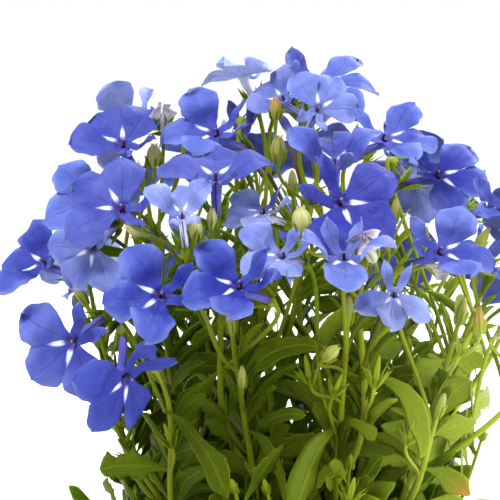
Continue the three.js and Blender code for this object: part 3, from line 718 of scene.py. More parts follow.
def lobe_axes(f, angle, rise):
    a, c = angle * RAD, rise * RAD
    flat = swing(f["d"], f["s"], a)
    return swing(flat, f["n"], c), swing(f["s"], f["d"], -a), swing(f["n"], flat, -c)


def slimness(bloom):
    """Side lobes that stand close to the middle one leave room for slimmer lobes."""
    return min(1, math.tan(bloom.spread / 2 * RAD) / FULL_WIDTH)


def lobes_of(bloom):
    broad = [(reach, wide * slimness(bloom), rise) for reach, wide, rise in BROAD]
    narrow = [(turn, UPPER_RISE, NARROW) for turn in (UPPER_TURN, -UPPER_TURN)]
    low, left = (0, LOW_RISE, broad), (bloom.spread, bloom.rise, broad)
    return [low, left, *narrow, (-bloom.spread, bloom.rise, broad)]


def bloom_points(bloom):
    f, size, out = axes_of(bloom), bloom.size, []
    for angle, rise, shape in lobes_of(bloom):
        ax, side, nn = lobe_axes(f, angle, rise)
        stations = [(1, 1, 0), *shape]
        for a, b in zip(stations, stations[1:]):
            for t in (0, 0.5, 1):
                w = mix(a, b, t)
                p = add(add(f["at"], ax, w[0] * size), nn, w[2] * size - 0.3)
                out += [add(p, side, v * w[1] * size) for v in (-1, -0.5, 0, 0.5, 1)]
    return out + [add(f["at"], f["a"], -TUBE * size * (i / 5.4)) for i in range(6)]


flowers = []
for i, bloom in enumerate(map(Bloom._make, BLOOMS)):
    flowers.append((bloom, f"bloom_{i + 1:02d}", axes_of(bloom)))
for bloom, name, f in flowers:
    take(name, bloom_points(bloom), 0.7)
    end, u = add(heel(bloom, f), f["a"], -CUP_GAP), cross(f["s"], f["a"])
    for up, r in ((0, 1.3), (2.4, 2.2), (4.6, 3)):
        for k in range(10):
            q = 36 * k * RAD
            take(name, [add(add(add(end, f["a"], up), u, r * cos(q)), f["s"], r * sin(q))], 0.3)
shoots = []
for i, (foot, limbs) in enumerate(SHOOTS):
    shoots.append([])
    for k, curve in enumerate(curves_of(foot, limbs)):
        thick = STEM_SIDE if k else STEM_FOOT
        sunk, trails = 0 if k else FIRST_JOINT, limbs[k][2] < SOIL_TOP
        limb = limb_of(f"shoot_{i + 1:02d}.{k}", curve, thick, sunk, trails)
        take(limb["name"], walk(curve, 50), thick)
        take(limb["name"], [add(curve[3], limb["way"], d) for d in (1.5, 3, 4.5, 6)], 1.2)
        shoots[i].append(limb)


every_limb = [(i, k, limb) for i, limbs in enumerate(shoots) for k, limb in enumerate(limbs)]


def stalk_curve(face, bloom, f):
    end = add(heel(bloom, f), f["a"], -CUP_GAP)
    span = far(face["at"], end)
    hold = add(face["at"], unit(add(face["out"], face["rise"], 0.9)), 0.32 * span)
    return (face["at"], hold, add(end, f["a"], -0.27 * span), end)


def stalk_of(limbs, bloom, f, name):
    """The stalk springs from the flat that suits its flower best and is clear of all else."""
    end, choices = heel(bloom, f), []
    for limb in limbs:
        for i in range(1, limb["joints"]):
            for k in range(SIDES):
                face = face_of(limb, i, k)
                if face["key"] in limb["taken"]:
                    continue
                go = unit(add(end, face["at"], -1))
                # near its usual length, with no climb down and a start that suits both ends
                cost = abs(far(face["at"], end) - STALK_LONG)
                cost += 0.9 * max(0, face["at"][2] - end[2] + 5)
                cost -= 5 * min(0.6, dot(go, face["out"]))
                cost -= 4 * min(0.3, dot(go, f["a"]))
                choices.append((cost, limb, face))
    choices.sort(key=lambda c: c[0])
    best = None
    for _, limb, face in choices[:TRIES]:
        c = stalk_curve(face, bloom, f)
        w = walk(c, 14)
        best = best or (limb, face, c)
        if free((name, limb["name"]), w[:-1], STALK) and free((name,), w[4:-1], STALK):
            best = (limb, face, c)
            break
    limb, face, c = best
    limb["taken"].add(face["key"])
    take(name, walk(c, 16), 0.7)
    return c, face


stalks = [stalk_of(shoots[bloom.shoot], bloom, f, name) for bloom, name, f in flowers]


class Strands:
    """Lines to be swept: at each point a half width, an upward side and its marks."""

    def __init__(self):
        self.points, self.edges, self.half, self.up = [], [], [], []
        self.marks = {"along": [], "tone": [], "kind": []}

    def line(self, path, half, up, tone, kind):
        start, last = len(self.points), len(path) - 1
        self.points += path
        self.edges += [(start + i, start + i + 1) for i in range(last)]
        self.half += half
        self.up += up
        self.marks["along"] += [i / last for i in range(last + 1)]
        self.marks["tone"] += [tone] * (last + 1)
        self.marks["kind"] += [kind] * (last + 1)

    def mesh(self, name):
        mesh = bpy.data.meshes.new(name)
        mesh.from_pydata(np.array(self.points) * MM, self.edges, [])
        for key, numbers in {"half": np.array(self.half) * MM, **self.marks}.items():
            mark_on(mesh, key, numbers)
        sides = mesh.attributes.new("up", "FLOAT_VECTOR", "POINT")
        sides.data.foreach_set("vector", np.array(self.up, np.float32).ravel())
        return mesh


def strand_tree():
    """Sweeps a section along each line: round and ridged, or flat with a fold."""
    b, given = group_of(
        "swept strands", Sides="Int", Flat="Float", Fold="Float", Ridge="Float", Ripple="Float",
        Finish="Material"
    )
    circle = b.node(
        "GeometryNodeCurvePrimitiveCircle", {"Resolution": given("Sides"), "Radius": 1.0}
    )
    spot = b.node("GeometryNodeInputPosition")
    parts = b.node("ShaderNodeSeparateXYZ", {0: spot})
    x, y = parts, Value(b, parts.socket.node.outputs[1])
    near = 1 - given("Ridge") * b.node("GeometryNodeInputIndex").math("MODULO", 2)
    point = b.node(
        "ShaderNodeCombineXYZ", {0: x * near, 1: y * near * given("Flat") + abs(x) * given("Fold")}
    )
    marked = circle
    for name, level in (("across", x), ("above", y)):
        held = {"Geometry": marked, "Name": name, "Value": level}
        marked = b.node("GeometryNodeStoreNamedAttribute", held, data_type="FLOAT", domain="POINT")
    outline = b.node("GeometryNodeSetPosition", {"Geometry": marked, "Position": point})
    lines = b.node("GeometryNodeMeshToCurve", {"Mesh": given("Geometry")})
    side, half, across, along, tone = (
        b.node("GeometryNodeInputNamedAttribute", {"Name": n}, data_type=kind)
        for n, kind in [("up", "FLOAT_VECTOR")] + [
            (n, "FLOAT") for n in ("half", "across", "along", "tone")
        ]
    )
    lines = b.node("GeometryNodeSetCurveNormal", {"Curve": lines, "Normal": side}, mode="FREE")
    swept = b.node(
        "GeometryNodeCurveToMesh",
        {"Curve": lines, "Profile Curve": outline, "Scale": half, "Fill Caps": True}
    )
    phase = along * 10 + tone * 20
    wave = phase.math("SINE") * across + (phase * 1.7).math("SINE") * abs(across) * 0.7
    lift = b.scaled(side, wave * half * along.math("MINIMUM", 0.25) * given("Ripple"))
    waved = b.node("GeometryNodeSetPosition", {"Geometry": swept, "Offset": lift})
    real = b.node("GeometryNodeRealizeInstances", {"Geometry": waved})
    return b.finished(b.node("GeometryNodeSetShadeSmooth", {"Geometry": real}), given("Finish"))


# what a strand can be: green, flushed purple, an olive or a cream bud, the tube of a
# spent flower, or a bud tipped with orange
GREEN, FLUSHED, OLIVE, CREAM, FADED, ORANGE = range(6)


def sunny_side(b, low=-0.022, high=0.035):
    """0 on the shaded left of the plant and 1 on the sunny right."""
    return b.rise(b.place("X"), low, high)


def stem_paint(b):
    """Yellow-green and a little shiny; some stalks are flushed purple-brown."""
    tone, kind, across, along = b.marks("tone", "kind", "across", "along")
    # green with pale patches, darker ribs and a few brown flecks, and painted light that makes it
    # brighter toward the sunny right
    patchy = b.grain(160, 3)
    base = b.blend(
        tone * (0.35 + 0.75 * sunny_side(b)), (0.080, 0.112, 0.002), (0.350, 0.400, 0.022)
    )
    base = b.blend(b.rise(patchy, 0.35, 0.7) * 0.35, base, (0.19, 0.25, 0.01))
    stripe = b.rise((across * 3).off_whole(), 0.3, 0.1)
    base = b.blend(stripe * 0.25, base, (0.08, 0.11, 0.004))
    base = b.blend(b.rise(patchy, 0.62, 0.8) * 0.25, base, (0.12, 0.07, 0.03))
    flushed = kind.equals(FLUSHED) * b.rise(along + patchy * 0.3, 0.25, 0.7)
    base = b.blend(flushed, base, (0.048, 0.034, 0.014))
    # buds and spent tubes have colours of their own from foot to tip
    closed = b.rise(along, 0.15, 0.8)
    ribs = b.rise((across * 2).off_whole(), 0.35, 0.1)
    for n, foot, tip in (
        (OLIVE, (0.24, 0.29, 0.04), b.blend(tone, (0.46, 0.44, 0.12), (0.14, 0.13, 0.08))),
        (CREAM, (0.30, 0.35, 0.08), (0.56, 0.53, 0.28)),
        (FADED, (0.50, 0.50, 0.42), (0.42, 0.40, 0.50)),
        (ORANGE, (0.30, 0.32, 0.05), (0.48, 0.27, 0.08)),
    ):
        ribbed = b.blend(ribs * 0.2, b.blend(closed, foot, tip), (0.22, 0.26, 0.06))
        base = b.blend(kind.equals(n), base, ribbed)
    # darker on the shaded side, lighter on the sunny one
    base = b.blend(0.45 - 0.3 * sunny_side(b), base, (0.015, 0.018, 0.001))
    base = b.blend((0.05 + 0.35 * tone) * sunny_side(b, 0.008, 0.035), base, (0.36, 0.42, 0.07))
    bump = b.bump(b.grain(1400, 3), 0.3, 0.00008)
    return {"Base Color": base, "Roughness": 0.42 + 0.15 * patchy, "Normal": bump}


def stem_strand(store, path, radii, tone, kind=GREEN):
    frames = frames_of(path)
    store.line([f[0] for f in frames], radii, [f[2] for f in frames], tone, kind)
    return frames


SEPAL = [0.75, 1, 0.95, 0.8, 0.6, 0.35, 0.05]


def sepal(store, base, out, way, long, spread, tone, kind=GREEN, wide=0.55):
    """A narrow pointed leaf that leaves a cup and leans away from the flower."""
    path, last = [], len(SEPAL) - 1
    for t in [i / last for i in range(last + 1)]:
        path.append(add(add(base, way, long * t), out, spread * (t + 0.35 * t * t)))
    up = [unit(add(out, way, -spread / long))] * len(SEPAL)
    store.line(path, [wide * share for share in SEPAL], up, tone, kind)


strand = strand_tree()
FLESHY = {
    "Subsurface_Radius": (0.6, 1.0, 0.2), "Subsurface_Scale": 0.0006, "Specular_IOR_Level": 0.16
}
stem_green = finish_of(
    "stem green", stem_paint, Specular_Tint=(0.9, 1, 0.15, 1), Subsurface_Weight=0.12, **FLESHY
)
stems, blades, small = ([Strands() for _ in SHOOTS] for _ in range(3))
STEM_STEPS = 34
for i, k, limb in every_limb:
    chance, path = draw(4000 + i * 17 + k), walk(limb["curve"], STEM_STEPS)
    foot, tip = limb["thick"] * 0.92, STEM_TIP * 0.8
    radii = [foot + (tip - foot) * t / STEM_STEPS for t in range(STEM_STEPS + 1)]
    radii[0] *= 1.25 if k else 1.0
    radii[-1] = 0.5
    path.append(add(path[-1], limb["way"], 0.8))
    stem_strand(stems[i], path, radii + [0.2], 0.35 + 0.6 * next(chance))


# a bud's radius along its length, a fold's way over it and that fold's own radius
BUD = [
    (-1.6, 0.4), (-0.6, 0.85), (0.6, 1.15), (1.8, 1.2), (3.2, 1.1), (4.4, 0.8), (5.2, 0.4),
    (5.5, 0.06)
]
FOLD = BUD[1:6] + [(5.3, 0.42), (6.1, 0.6)]
FOLD_THICK = [0.1, 0.2, 0.27, 0.29, 0.27, 0.2, 0.06]


def bud_on(
    store, leaves, base, way, size, tone, kind=OLIVE, plump=1.0, spread=0.8, count=5, folds=0
):
    """A closed bud in its cup, with sepals round its foot and folds that part at its tip."""
    path = [add(base, way, d * size / plump) for d, _ in BUD]
    frames = stem_strand(store, path, [r * size * plump for _, r in BUD], tone, kind)
    _, _, side, up = frames[2]
    for k in range(count):
        out = swing(side, up, 2 * math.pi * k / count + tone * 5)
        foot = add(add(base, out, 0.75 * size * plump), way, -0.8 * size)
        long = (3.6 + 0.5 * (k % 2)) * size / plump
        sepal(leaves, foot, out, way, long, spread * size * plump, 0.85, wide=0.5)
    for k in range(folds):
        out = swing(side, up, 2 * math.pi * (k + 0.5) / folds + tone * 5)
        fold = [
            add(add(base, way, d * size / plump), out, 0.93 * r * size * plump) for d, r in FOLD
        ]
        stem_strand(store, fold, [r * size for r in FOLD_THICK], tone, kind)


for i, k, limb in every_limb:
    chance, base = draw(5200 + i * 31 + k), add(limb["curve"][3], limb["way"], 1.2)
    bud_on(stems[i], small[i], base, limb["way"], 0.8 + 0.15 * next(chance), next(chance))
for (bloom, name, f), (c, face) in zip(flowers, stalks):
    i, chance = bloom.shoot, draw(6100 + int(name[-2:]))
    dark = FLUSHED if next(chance) > 0.75 else GREEN
    tone, path = next(chance), walk(c, 16)
    way = unit(add(path[-1], path[-2], -1))
    neck = [add(path[-1], way, -CUP_NECK * t) for t in (0.75, 0.45, 0.2, 0)]
    keep = [p for p in path if far(p, path[-1]) > CUP_NECK]
    body = [add(face["at"], face["out"], -0.6)] + keep
    radii = [0.75, 0.62] + [0.46] * (len(keep) - 1)
    lip = [add(path[-1], way, d) for d in (0.5, 0.8)]
    frames = stem_strand(
        stems[i], body + neck + lip, radii + [0.55, 0.85, 1.15, 1.28] + [1.12, 0.5], tone, dark
    )
    _, _, side, up = frames[-2]
    for k in range(5):
        out = swing(side, up, 72 * (k + 0.5) * RAD)
        lean = (CUP_WIDE - 1.2 + stray(chance, 0.7)) * 0.75
        foot, long = add(add(path[-1], out, 1.05), way, -0.2), CUP_LONG + 0.6 * next(chance)
        sepal(small[i], foot, out, way, long, lean, 0.4 + 0.4 * tone, dark * 0.5)


# ----------------------------------------------------------------- the leaves
# Narrow leaves spring singly round the stems, broad and toothed low down,
# slim and smooth above. The blade folds a little along its pale midrib.

# the largest leaves: about where each leaves a stem, its heading round the
# plant, pitch, droop, length, width and twist
LARGE = [
    (11, -28, 121, 235, -15, 60, 24, 6.6, 0.3),
    (21, -24, 127, 320, 15, 125, 25, 4.2, -0.3),
    (-20, -26, 138, 200, -45, 45, 17, 4, 0.2),
    (-6, -28, 128, 310, -10, 80, 19, 4.4, 0.2),
    (-27, -20, 127, 325, -30, 35, 22, 4.8, -0.4),
    (-6, -28, 115, 195, 0, 30, 10, 3.8, 0.3),
    (-7, -10, 142, 260, -55, 35, 18, 3.8, 0.3),
    (-2, -24, 144, 190, -5, 30, 15, 3.2, 0.1),
    (14, -26, 148, 205, -25, 30, 14, 5, -0.2),
    (28, -17, 128, 20, 60, 40, 13, 5.6, -0.5),
    (28, -20, 134, 12, 25, 20, 9, 5, 0.3),
    (36, -18, 134, 0, 5, 20, 8, 5, 0.6),
    (15, -24, 131, 340, 20, 90, 8, 3.2, 0),
    (28, -20, 113, 350, -10, 40, 11, 4.8, 0.4),
    (-24, -14, 106, 195, -5, 20, 13, 6.2, 0.5),
    (-24, -20, 108, 188, 15, 25, 14, 6.2, 0.3),
    (-30, -12, 114, 195, 10, 30, 7, 4.6, 0.4),
    (14, -30, 120, 330, -5, 60, 14, 4.8, 0.2),
    (-30, 12, 112, 130, 30, 50, 20, 7, 0.2),
    (-10, 34, 116, 100, 15, 60, 24, 6.6, -0.2),
    (26, 32, 114, 60, 20, 55, 24, 7, 0.3),
    (40, 10, 116, 75, 15, 50, 18, 6.4, -0.3),
    (31, -17, 142, 215, -15, 30, 9, 5.2, 0.2),
    (16, -10, 131, 195, 20, 70, 9, 3, 0),
]
AUTUMN, PLAIN = 13, 0
SMOOTH = [(0, 0.12), (0.36, 0.82), (0.72, 0.95)]
TOOTHED = [(0, 0.14), (0.36, 0.6), (0.52, 1), (0.6, 0.72), (0.8, 0.9)]
SMOOTH_EDGE = [
    (0, 0.2), (0.07, 0.17), (0.16, 0.36), (0.28, 0.66), (0.42, 0.88), (0.56, 0.98), (0.68, 1),
    (0.79, 0.92), (0.88, 0.72), (0.95, 0.42), (0.985, 0.2), (1, 0.03)
]
TOOTHED_EDGE = [
    (0, 0.2), (0.09, 0.17), (0.2, 0.34), (0.3, 0.52), (0.35, 0.76), (0.385, 0.6), (0.46, 0.8),
    (0.52, 1.04), (0.56, 0.8), (0.63, 0.92), (0.7, 1.1), (0.735, 0.82), (0.8, 0.86), (0.85, 0.98),
    (0.885, 0.66), (0.925, 0.52), (0.96, 0.36), (0.985, 0.2), (1, 0.04)
]
SLIM_EDGE = [(0, 0.3), (0.2, 0.6), (0.45, 1), (0.68, 0.9), (0.87, 0.5), (1, 0.03)]


CROWN, CROWN_LARGE, CROWN_TILT, CROWN_FROM = 39.5, 50, 0.14, 105
TRAIL_TOP, TRAIL_TILT = 103, 0.105
LOW_LEAVES, HIGH_LEAVES, PAIRS_END = 84, 164, 118
LEAF_THICK, LEAF_GAP, LARGE_TRIES, LEAF_TRIES = 0.4, 0.3, 24, 10
TURNED, WITHERED = 1, 2


def leaf_line(spec, stations, wave=0.0):
    """Place, sides and half width at each station of a blade that bends over evenly."""
    azimuth, pitch, droop, long = spec["azimuth"], spec["pitch"], spec["droop"], spec["long"]
    out, across = (cos(azimuth), sin(azimuth), 0), (-sin(azimuth), cos(azimuth), 0)
    rows, p, was = [], spec["at"], 0
    for t, w in stations:
        e = pitch - droop * (t + was) * 0.5
        p = add(p, swing(out, UP, e), (t - was) * long)
        was = t
        here, roll = pitch - droop * t, spec["twist"] * t
        up = swing(UP, out, -here)
        side, nn = swing(across, up, roll), swing(up, across, -roll)
        half = max(w * spec["wide"] * 0.5, 0 if t == 1 else 0.45)
        rows.append((add(p, nn, wave * sin(9 * t + long) * t), side, nn, half, w))
    return rows


def leaf_points(spec):
    """Points over a blade, for the room that it takes."""
    rows, out = leaf_line(spec, (TOOTHED if spec["toothed"] else SMOOTH) + [(1, 0)]), []
    for i, (a, b) in enumerate(zip(rows, rows[1:])):
        for t in (0, 0.25, 0.5, 0.75) if i else (0.4, 0.6, 0.8):
            p, h = mix(a[0], b[0], t), a[3] * (1 - t) + b[3] * t
            out += [add(p, a[1], v * h) for v in (-1, -0.5, 0, 0.5, 1)]
    return out + [rows[-1][0]]


def blade(store, spec, stations, tone, kind, into):
    rows = leaf_line(spec, stations, 0.012 * spec["long"])
    path = [add(rows[0][0], into, -0.5)] + [r[0] for r in rows[1:]]
    half = [max(r[4] * spec["wide"] * 0.5, 0.03) for r in rows]
    store.line(path, half, [r[2] for r in rows], tone, kind)


def height_share(z):
    """0 low down, where leaves are broad, and 1 among the flowers."""
    return max(0, min(1, (z - LOW_LEAVES) / (HIGH_LEAVES - LOW_LEAVES)))


def inside(trails, points, spread=CROWN):
    """Whether a leaf keeps to the crown, or, where its limb trails, well below it."""
    if trails:
        return all(z + TRAIL_TILT * y <= TRAIL_TOP for _, y, z in points)
    return all(hypot(x, y) <= spread + CROWN_TILT * (z - CROWN_FROM) for x, y, z in points)


def grow(i, limb, face, spec, spread, tone, kind=GREEN, plain=False):
    """Grows a leaf on a flat of a limb if there is room for it."""
    points = leaf_points(spec)
    if not inside(limb["trails"], points, spread):
        return False
    room_for = (LEAF_THICK, LEAF_GAP)
    if not free((limb["name"],), points, *room_for) or not free((), points[10:], *room_for):
        return False
    limb["taken"].add(face["key"])
    edge = SMOOTH_EDGE if plain or not spec["toothed"] else TOOTHED_EDGE
    blade(blades[i], spec, edge, tone, kind, face["out"])
    take("leaf", points, LEAF_THICK)
    return True


for n, (x, y, z, azimuth, pitch, droop, long, wide, twist) in enumerate(LARGE):
    way, choices = (cos(azimuth * RAD), sin(azimuth * RAD), 0), []
    for i, _, limb in every_limb:
        for j in range(1, limb["joints"]):
            for side in range(SIDES):
                face = face_of(limb, j, side)
                facing = dot(face["out"], way)
                if face["key"] not in limb["taken"] and facing > 0.2:
                    choices.append((far(face["at"], (x, y, z)) - 3 * facing, i, limb, face))
    choices.sort(key=lambda c: c[0])
    kind, tone = TURNED if n == AUTUMN else GREEN, 0.45 + 0.5 * (n * 0.618 % 1)
    spec = {"azimuth": azimuth * RAD, "pitch": pitch * RAD, "droop": droop * RAD}
    spec |= {"long": long, "wide": wide, "twist": twist, "toothed": wide > 6}
    for _, i, limb, face in choices[:LARGE_TRIES]:
        if grow(i, limb, face, {**spec, "at": face["at"]}, CROWN_LARGE, tone, kind, n == PLAIN):
            break
# then a leaf at each joint, and a second one low down, wherever there is room
for i, k, limb in every_limb:
    for j, pair in [(j, pair) for j in range(1, limb["joints"]) for pair in range(2)]:
        for attempt in range(LEAF_TRIES):
            chance = draw(i * 7919 + k * 1013 + (2 * j + pair) * 101 + attempt * 17 + 5)
            side = (4 * j + 2 * pair + i + k + (attempt >> 1)) % SIDES
            face = face_of(limb, j, side, 0.28 + 0.44 * pair)
            if face["key"] in limb["taken"] or (pair and face["at"][2] > PAIRS_END):
                continue
            low = height_share(face["at"][2])
            size = (1 - 0.06 * attempt) * (0.85 + 0.3 * next(chance))
            azimuth = math.atan2(face["out"][1], face["out"][0]) + stray(chance, 0.9)
            pitch = (60 - 18 * low + 16 * next(chance)) * RAD
            droop = (50 + 50 * next(chance)) * RAD
            spec = {"at": face["at"], "azimuth": azimuth, "pitch": pitch, "droop": droop}
            spec |= {"long": (24 - 10 * low) * size, "wide": (6.6 - 3.6 * low) * size}
            spec["twist"] = stray(chance, 1.2)
            spec["toothed"] = low < 0.45 and next(chance) < 0.3
            if grow(i, limb, face, spec, CROWN, next(chance)):
                break


def leaf_paint(b):
    """Bright green above with a paler midrib and side veins, duller beneath."""
    tone, along, across, above, kind = b.marks("tone", "along", "across", "above", "kind")
    patchy, broad = b.grain(320, 4), b.grain(60, 2)
    dark = b.blend(broad, (0.010, 0.025, 0.0002), (0.036, 0.055, 0.0004))
    bright = b.blend(broad, (0.110, 0.165, 0.0030), (0.290, 0.350, 0.0200))
    # painted light: the green is brighter toward the sunny right of the plant
    sunny = sunny_side(b)
    base = b.blend(tone * (0.3 + 0.9 * sunny), dark, bright)
    base = b.blend(b.rise(patchy, 0.35, 0.75) * 0.2, base, (0.13, 0.20, 0.003))
    # side veins slant up from the midrib to a paler edge
    slant = along * 7 - abs(across) * 0.9
    veins = b.rise(slant.off_whole(), 0.13, 0.02) * b.rise(abs(across), 0.95, 0.5)
    base = b.blend(veins * 0.18, base, (0.18, 0.25, 0.008))
    rib = b.rise(abs(across), 0.16, 0.03)
    base = b.blend(rib * 0.35, base, (0.24, 0.31, 0.020))
    edge = b.rise(abs(across), 0.86, 1.0) * 0.16
    base = b.blend(edge, base, (0.19, 0.24, 0.008))
    # duller beneath, and here and there a browned tip
    base = b.blend(b.rise(above, 0.05, -0.05) * 0.4, base, (0.13, 0.18, 0.012))
    tipped = b.rise(along, 0.86, 1.0) * b.rise(tone, 0.55, 0.8)
    base = b.blend(tipped * 0.4, base, (0.30, 0.20, 0.03))
    # painted shade darkens the shaded left, and painted light brightens the sunny right
    base = b.blend(0.6 - 0.4 * sunny, base, (0.006, 0.012, 0.0002))
    base = b.blend((0.1 + 0.42 * tone) * sunny_side(b, 0.008, 0.035), base, (0.33, 0.42, 0.06))
    # a leaf that has turned, and the wilted petals of spent flowers
    turned = b.rise(along + patchy * 0.3, 0.55, 1.0) * b.rise(kind, 0.5, 1.0)
    base = b.blend(turned * b.rise(kind, 1.5, 1.2), base, (0.42, 0.20, 0.05))
    withered = b.blend(
        b.rise(along + patchy * 0.4, 0.45, 1.0), (0.52, 0.49, 0.58), (0.26, 0.20, 0.32)
    )
    base = b.blend(b.rise(kind, 1.5, 1.8), base, withered)
    relief = b.bump(patchy - veins * 0.6 - rib, 0.5, 0.0002)
    return {"Base Color": base, "Roughness": 0.38 + 0.2 * patchy, "Normal": relief}


# ------------------------------------------------------------ the small growth
# Young side stems fill the crown between the shoots, and small leaves clothe
# every stem: broad and close low down, and thread-fine among the flowers.
GOLDEN, LEAF_STEPS, SLIM = 2.39996, 40, 2.6


def small_leaves(i, curve, name, thick, start, step, seed, trails=False):
    """Leaves at even steps up a stem, each turned a golden angle from the last."""
    long = length_of(curve)
    frames = frames_of(walk(curve, LEAF_STEPS))
    for n in range(int((long - start) / step)):
        chance, t = draw(seed + n * 7), (start + n * step) / long
        _, _, side, up = frames[min(LEAF_STEPS, int(t * LEAF_STEPS))]
        p = along(curve, t)
        low = height_share(p[2])
        for attempt in range(3):
            out = swing(side, up, GOLDEN * n + seed + attempt * 1.3)
            size = (0.7 + 0.5 * next(chance)) * (1 - 0.12 * attempt)
            wide = max(0.9, 5.4 - 4.4 * low ** 0.8) * (0.7 + 0.5 * next(chance)) * size
            spec = {"at": add(p, out, thick * 0.7), "wide": wide, "toothed": False}
            spec["long"] = max(6, 22 - 14 * low ** 0.8) * size
            spec["azimuth"] = math.atan2(out[1], out[0]) + stray(chance, 0.4)
            spec["pitch"] = (80 - 24 * next(chance)) * RAD
            spec["droop"] = (15 + 60 * next(chance)) * RAD
            spec["twist"] = stray(chance, 1.4)
            points = leaf_points(spec)[5::3]
            if not inside(trails, points) or not free((name,), points, 0.15, 0.12):
                continue
            edge = TOOTHED_EDGE if low < 0.4 and next(chance) < 0.3 else SMOOTH_EDGE
            store, edge = (small, SLIM_EDGE) if wide < SLIM else (blades, edge)
            blade(store[i], spec, edge, next(chance), GREEN, out)
            take("leaf", points, 0.2)
            break


# other buds: place, kind, size, plumpness, and the way each points
BUDS = [
    (-29, -14, 175.5, CREAM, 0.9, 1.35, 0, 85),
    (-3.8, -18, 176.5, OLIVE, 1.05, 1.3, 10, 80),
    (0.8, -40, 164.2, CREAM, 1.1, 1.4, -20, 80),
    (-20.2, -44, 163.1, CREAM, 0.95, 1.35, -10, 80),
    (-29.5, -35, 163.6, CREAM, 0.95, 1.3, -70, 25),
    (-17, -42, 165.5, CREAM, 0.7, 1.2, 15, 80),
    (-4.2, -12, 185, ORANGE, 0.8, 1.2, -10, 85),
    (5, -40, 139.5, OLIVE, 0.8, 1.3, 60, 40),
    (36.8, -26, 142.5, ORANGE, 0.85, 1.0, -10, 80),
    (36.8, -16, 158.5, OLIVE, 0.8, 1.0, 60, 60),
    (-11, -34, 133, OLIVE, 0.65, 1.0, 0, 80),
    (-28, -16, 117, OLIVE, 0.6, 1.0, -60, 60),
]
# leafy tips with a young bud in them, and spent flowers: place, size and way
TUFTS = [
    (2.5, -36, 134, 0.75, -30, 70), (7, -37, 132, 0.6, 40, 60), (15.3, -34, 133, 0.8, 30, 75),
    (10, -37, 110, 0.8, 20, 60), (-33, -20, 116, 0.7, -60, 50), (33, -24, 138, 0.7, 50, 60),
    (-25, -34, 121, 0.7, -30, 60), (22, -30, 121, 0.7, 30, 60)
]
SPENT = [
    (-27.3, -8, 182.5, 0.95, 0, 60), (14.6, -44.6, 159.8, 1.2, -25, 45),
    (40, -26, 142, 0.8, 70, 10), (26, -20, 156.5, 0.8, 70, -20), (-20, 30, 165, 0.9, 180, 60),
    (20, 38, 158, 0.9, 150, 20)
]


SHORT_STALK, SPRINGS = 11, 20


def short_stalk(end, way, tone, below=4):
    """A thin stalk to a bud from the limb that suits it best; returns the shoot's number."""
    choices = []
    for i, _, limb in every_limb:
        for n in range(6, SPRINGS):
            p = along(limb["curve"], n / SPRINGS)
            cost = abs(far(p, end) - SHORT_STALK) + 1.5 * max(0, p[2] - end[2] + below)
            choices.append((cost, i, n, limb))
    choices.sort(key=lambda c: c[:3])
    best = None
    for _, i, n, limb in choices[:TRIES]:
        p, q = along(limb["curve"], n / SPRINGS), along(limb["curve"], n / SPRINGS + 0.04)
        span, rise = far(p, end), unit(add(q, p, -1))
        hold = add(p, unit(add(rise, unit(add(end, p, -1)), 0.8)), 0.35 * span)
        c = (p, hold, add(end, way, -0.35 * span), end)
        best = best or (i, c)
        if free((limb["name"],), walk(c, 12), 0.4, 0.05):
            best = (i, c)
            break
    i, c = best
    path = walk(c, 12)
    stem_strand(stems[i], path, [0.5] + [0.38] * 11 + [0.5], tone)
    take("bud", path + [add(end, way, d) for d in (1, 2.5, 4)], 0.8)
    return i


for n, (x, y, z, kind, size, plump, turn, lift) in enumerate(BUDS):
    chance, way = draw(8100 + n), heading(turn, lift)
    i = short_stalk((x, y, z), way, next(chance))
    base = add((x, y, z), way, size)
    bud_on(stems[i], small[i], base, way, size, next(chance), kind, plump, folds=6)
for n, (x, y, z, size, turn, lift) in enumerate(TUFTS):
    chance, way = draw(8300 + n), heading(turn, lift)
    i = short_stalk((x, y, z), way, next(chance), 9)
    base = add((x, y, z), way, size)
    bud_on(stems[i], small[i], base, way, size, next(chance), GREEN, 0.7, 3.6, 8)
for n, (x, y, z, size, turn, lift) in enumerate(SPENT):
    chance, way = draw(8200 + n), heading(turn, lift)
    i = short_stalk((x, y, z), way, next(chance))
    path = [add((x, y, z), way, d * size) for d in (-0.4, 0.6, 1.8, 3, 4, 4.6)]
    radii = [r * size for r in (0.5, 1.1, 1.2, 1.0, 0.8, 0.3)]
    _, _, side, up = stem_strand(stems[i], path, radii, next(chance), FADED)[3]
    for k in range(5):
        out = swing(side, up, (72 * k + 20 * next(chance)) * RAD)
        rows, half = [add(path[3], out, 0.5 * size)], [0.6]
        for lean, wide in ((0.9, 1.0), (0.6, 1.3), (0.1, 1.2), (-0.5, 0.8), (-0.9, 0.2)):
            inward = 0.8 * size * (lean + stray(chance, 0.5))
            rows.append(add(add(rows[-1], way, 0.75 * size), out, inward))
            half.append(wide * size)
        blades[i].line(rows, half, [out] * len(rows), next(chance), WITHERED)
    for k in range(5):
        out = swing(side, up, 72 * (k + 0.5) * RAD)
        foot = add(path[1], out, 0.9 * size)
        sepal(small[i], foot, out, way, 4.5 * size, 1.4, 0.7, wide=0.42)

for i, k, limb in every_limb:
    start, seed = 5 if k else 16, 9000 + i * 577 + k * 71
    small_leaves(i, limb["curve"], limb["name"], limb["thick"], start, 2.6, seed, limb["trails"])

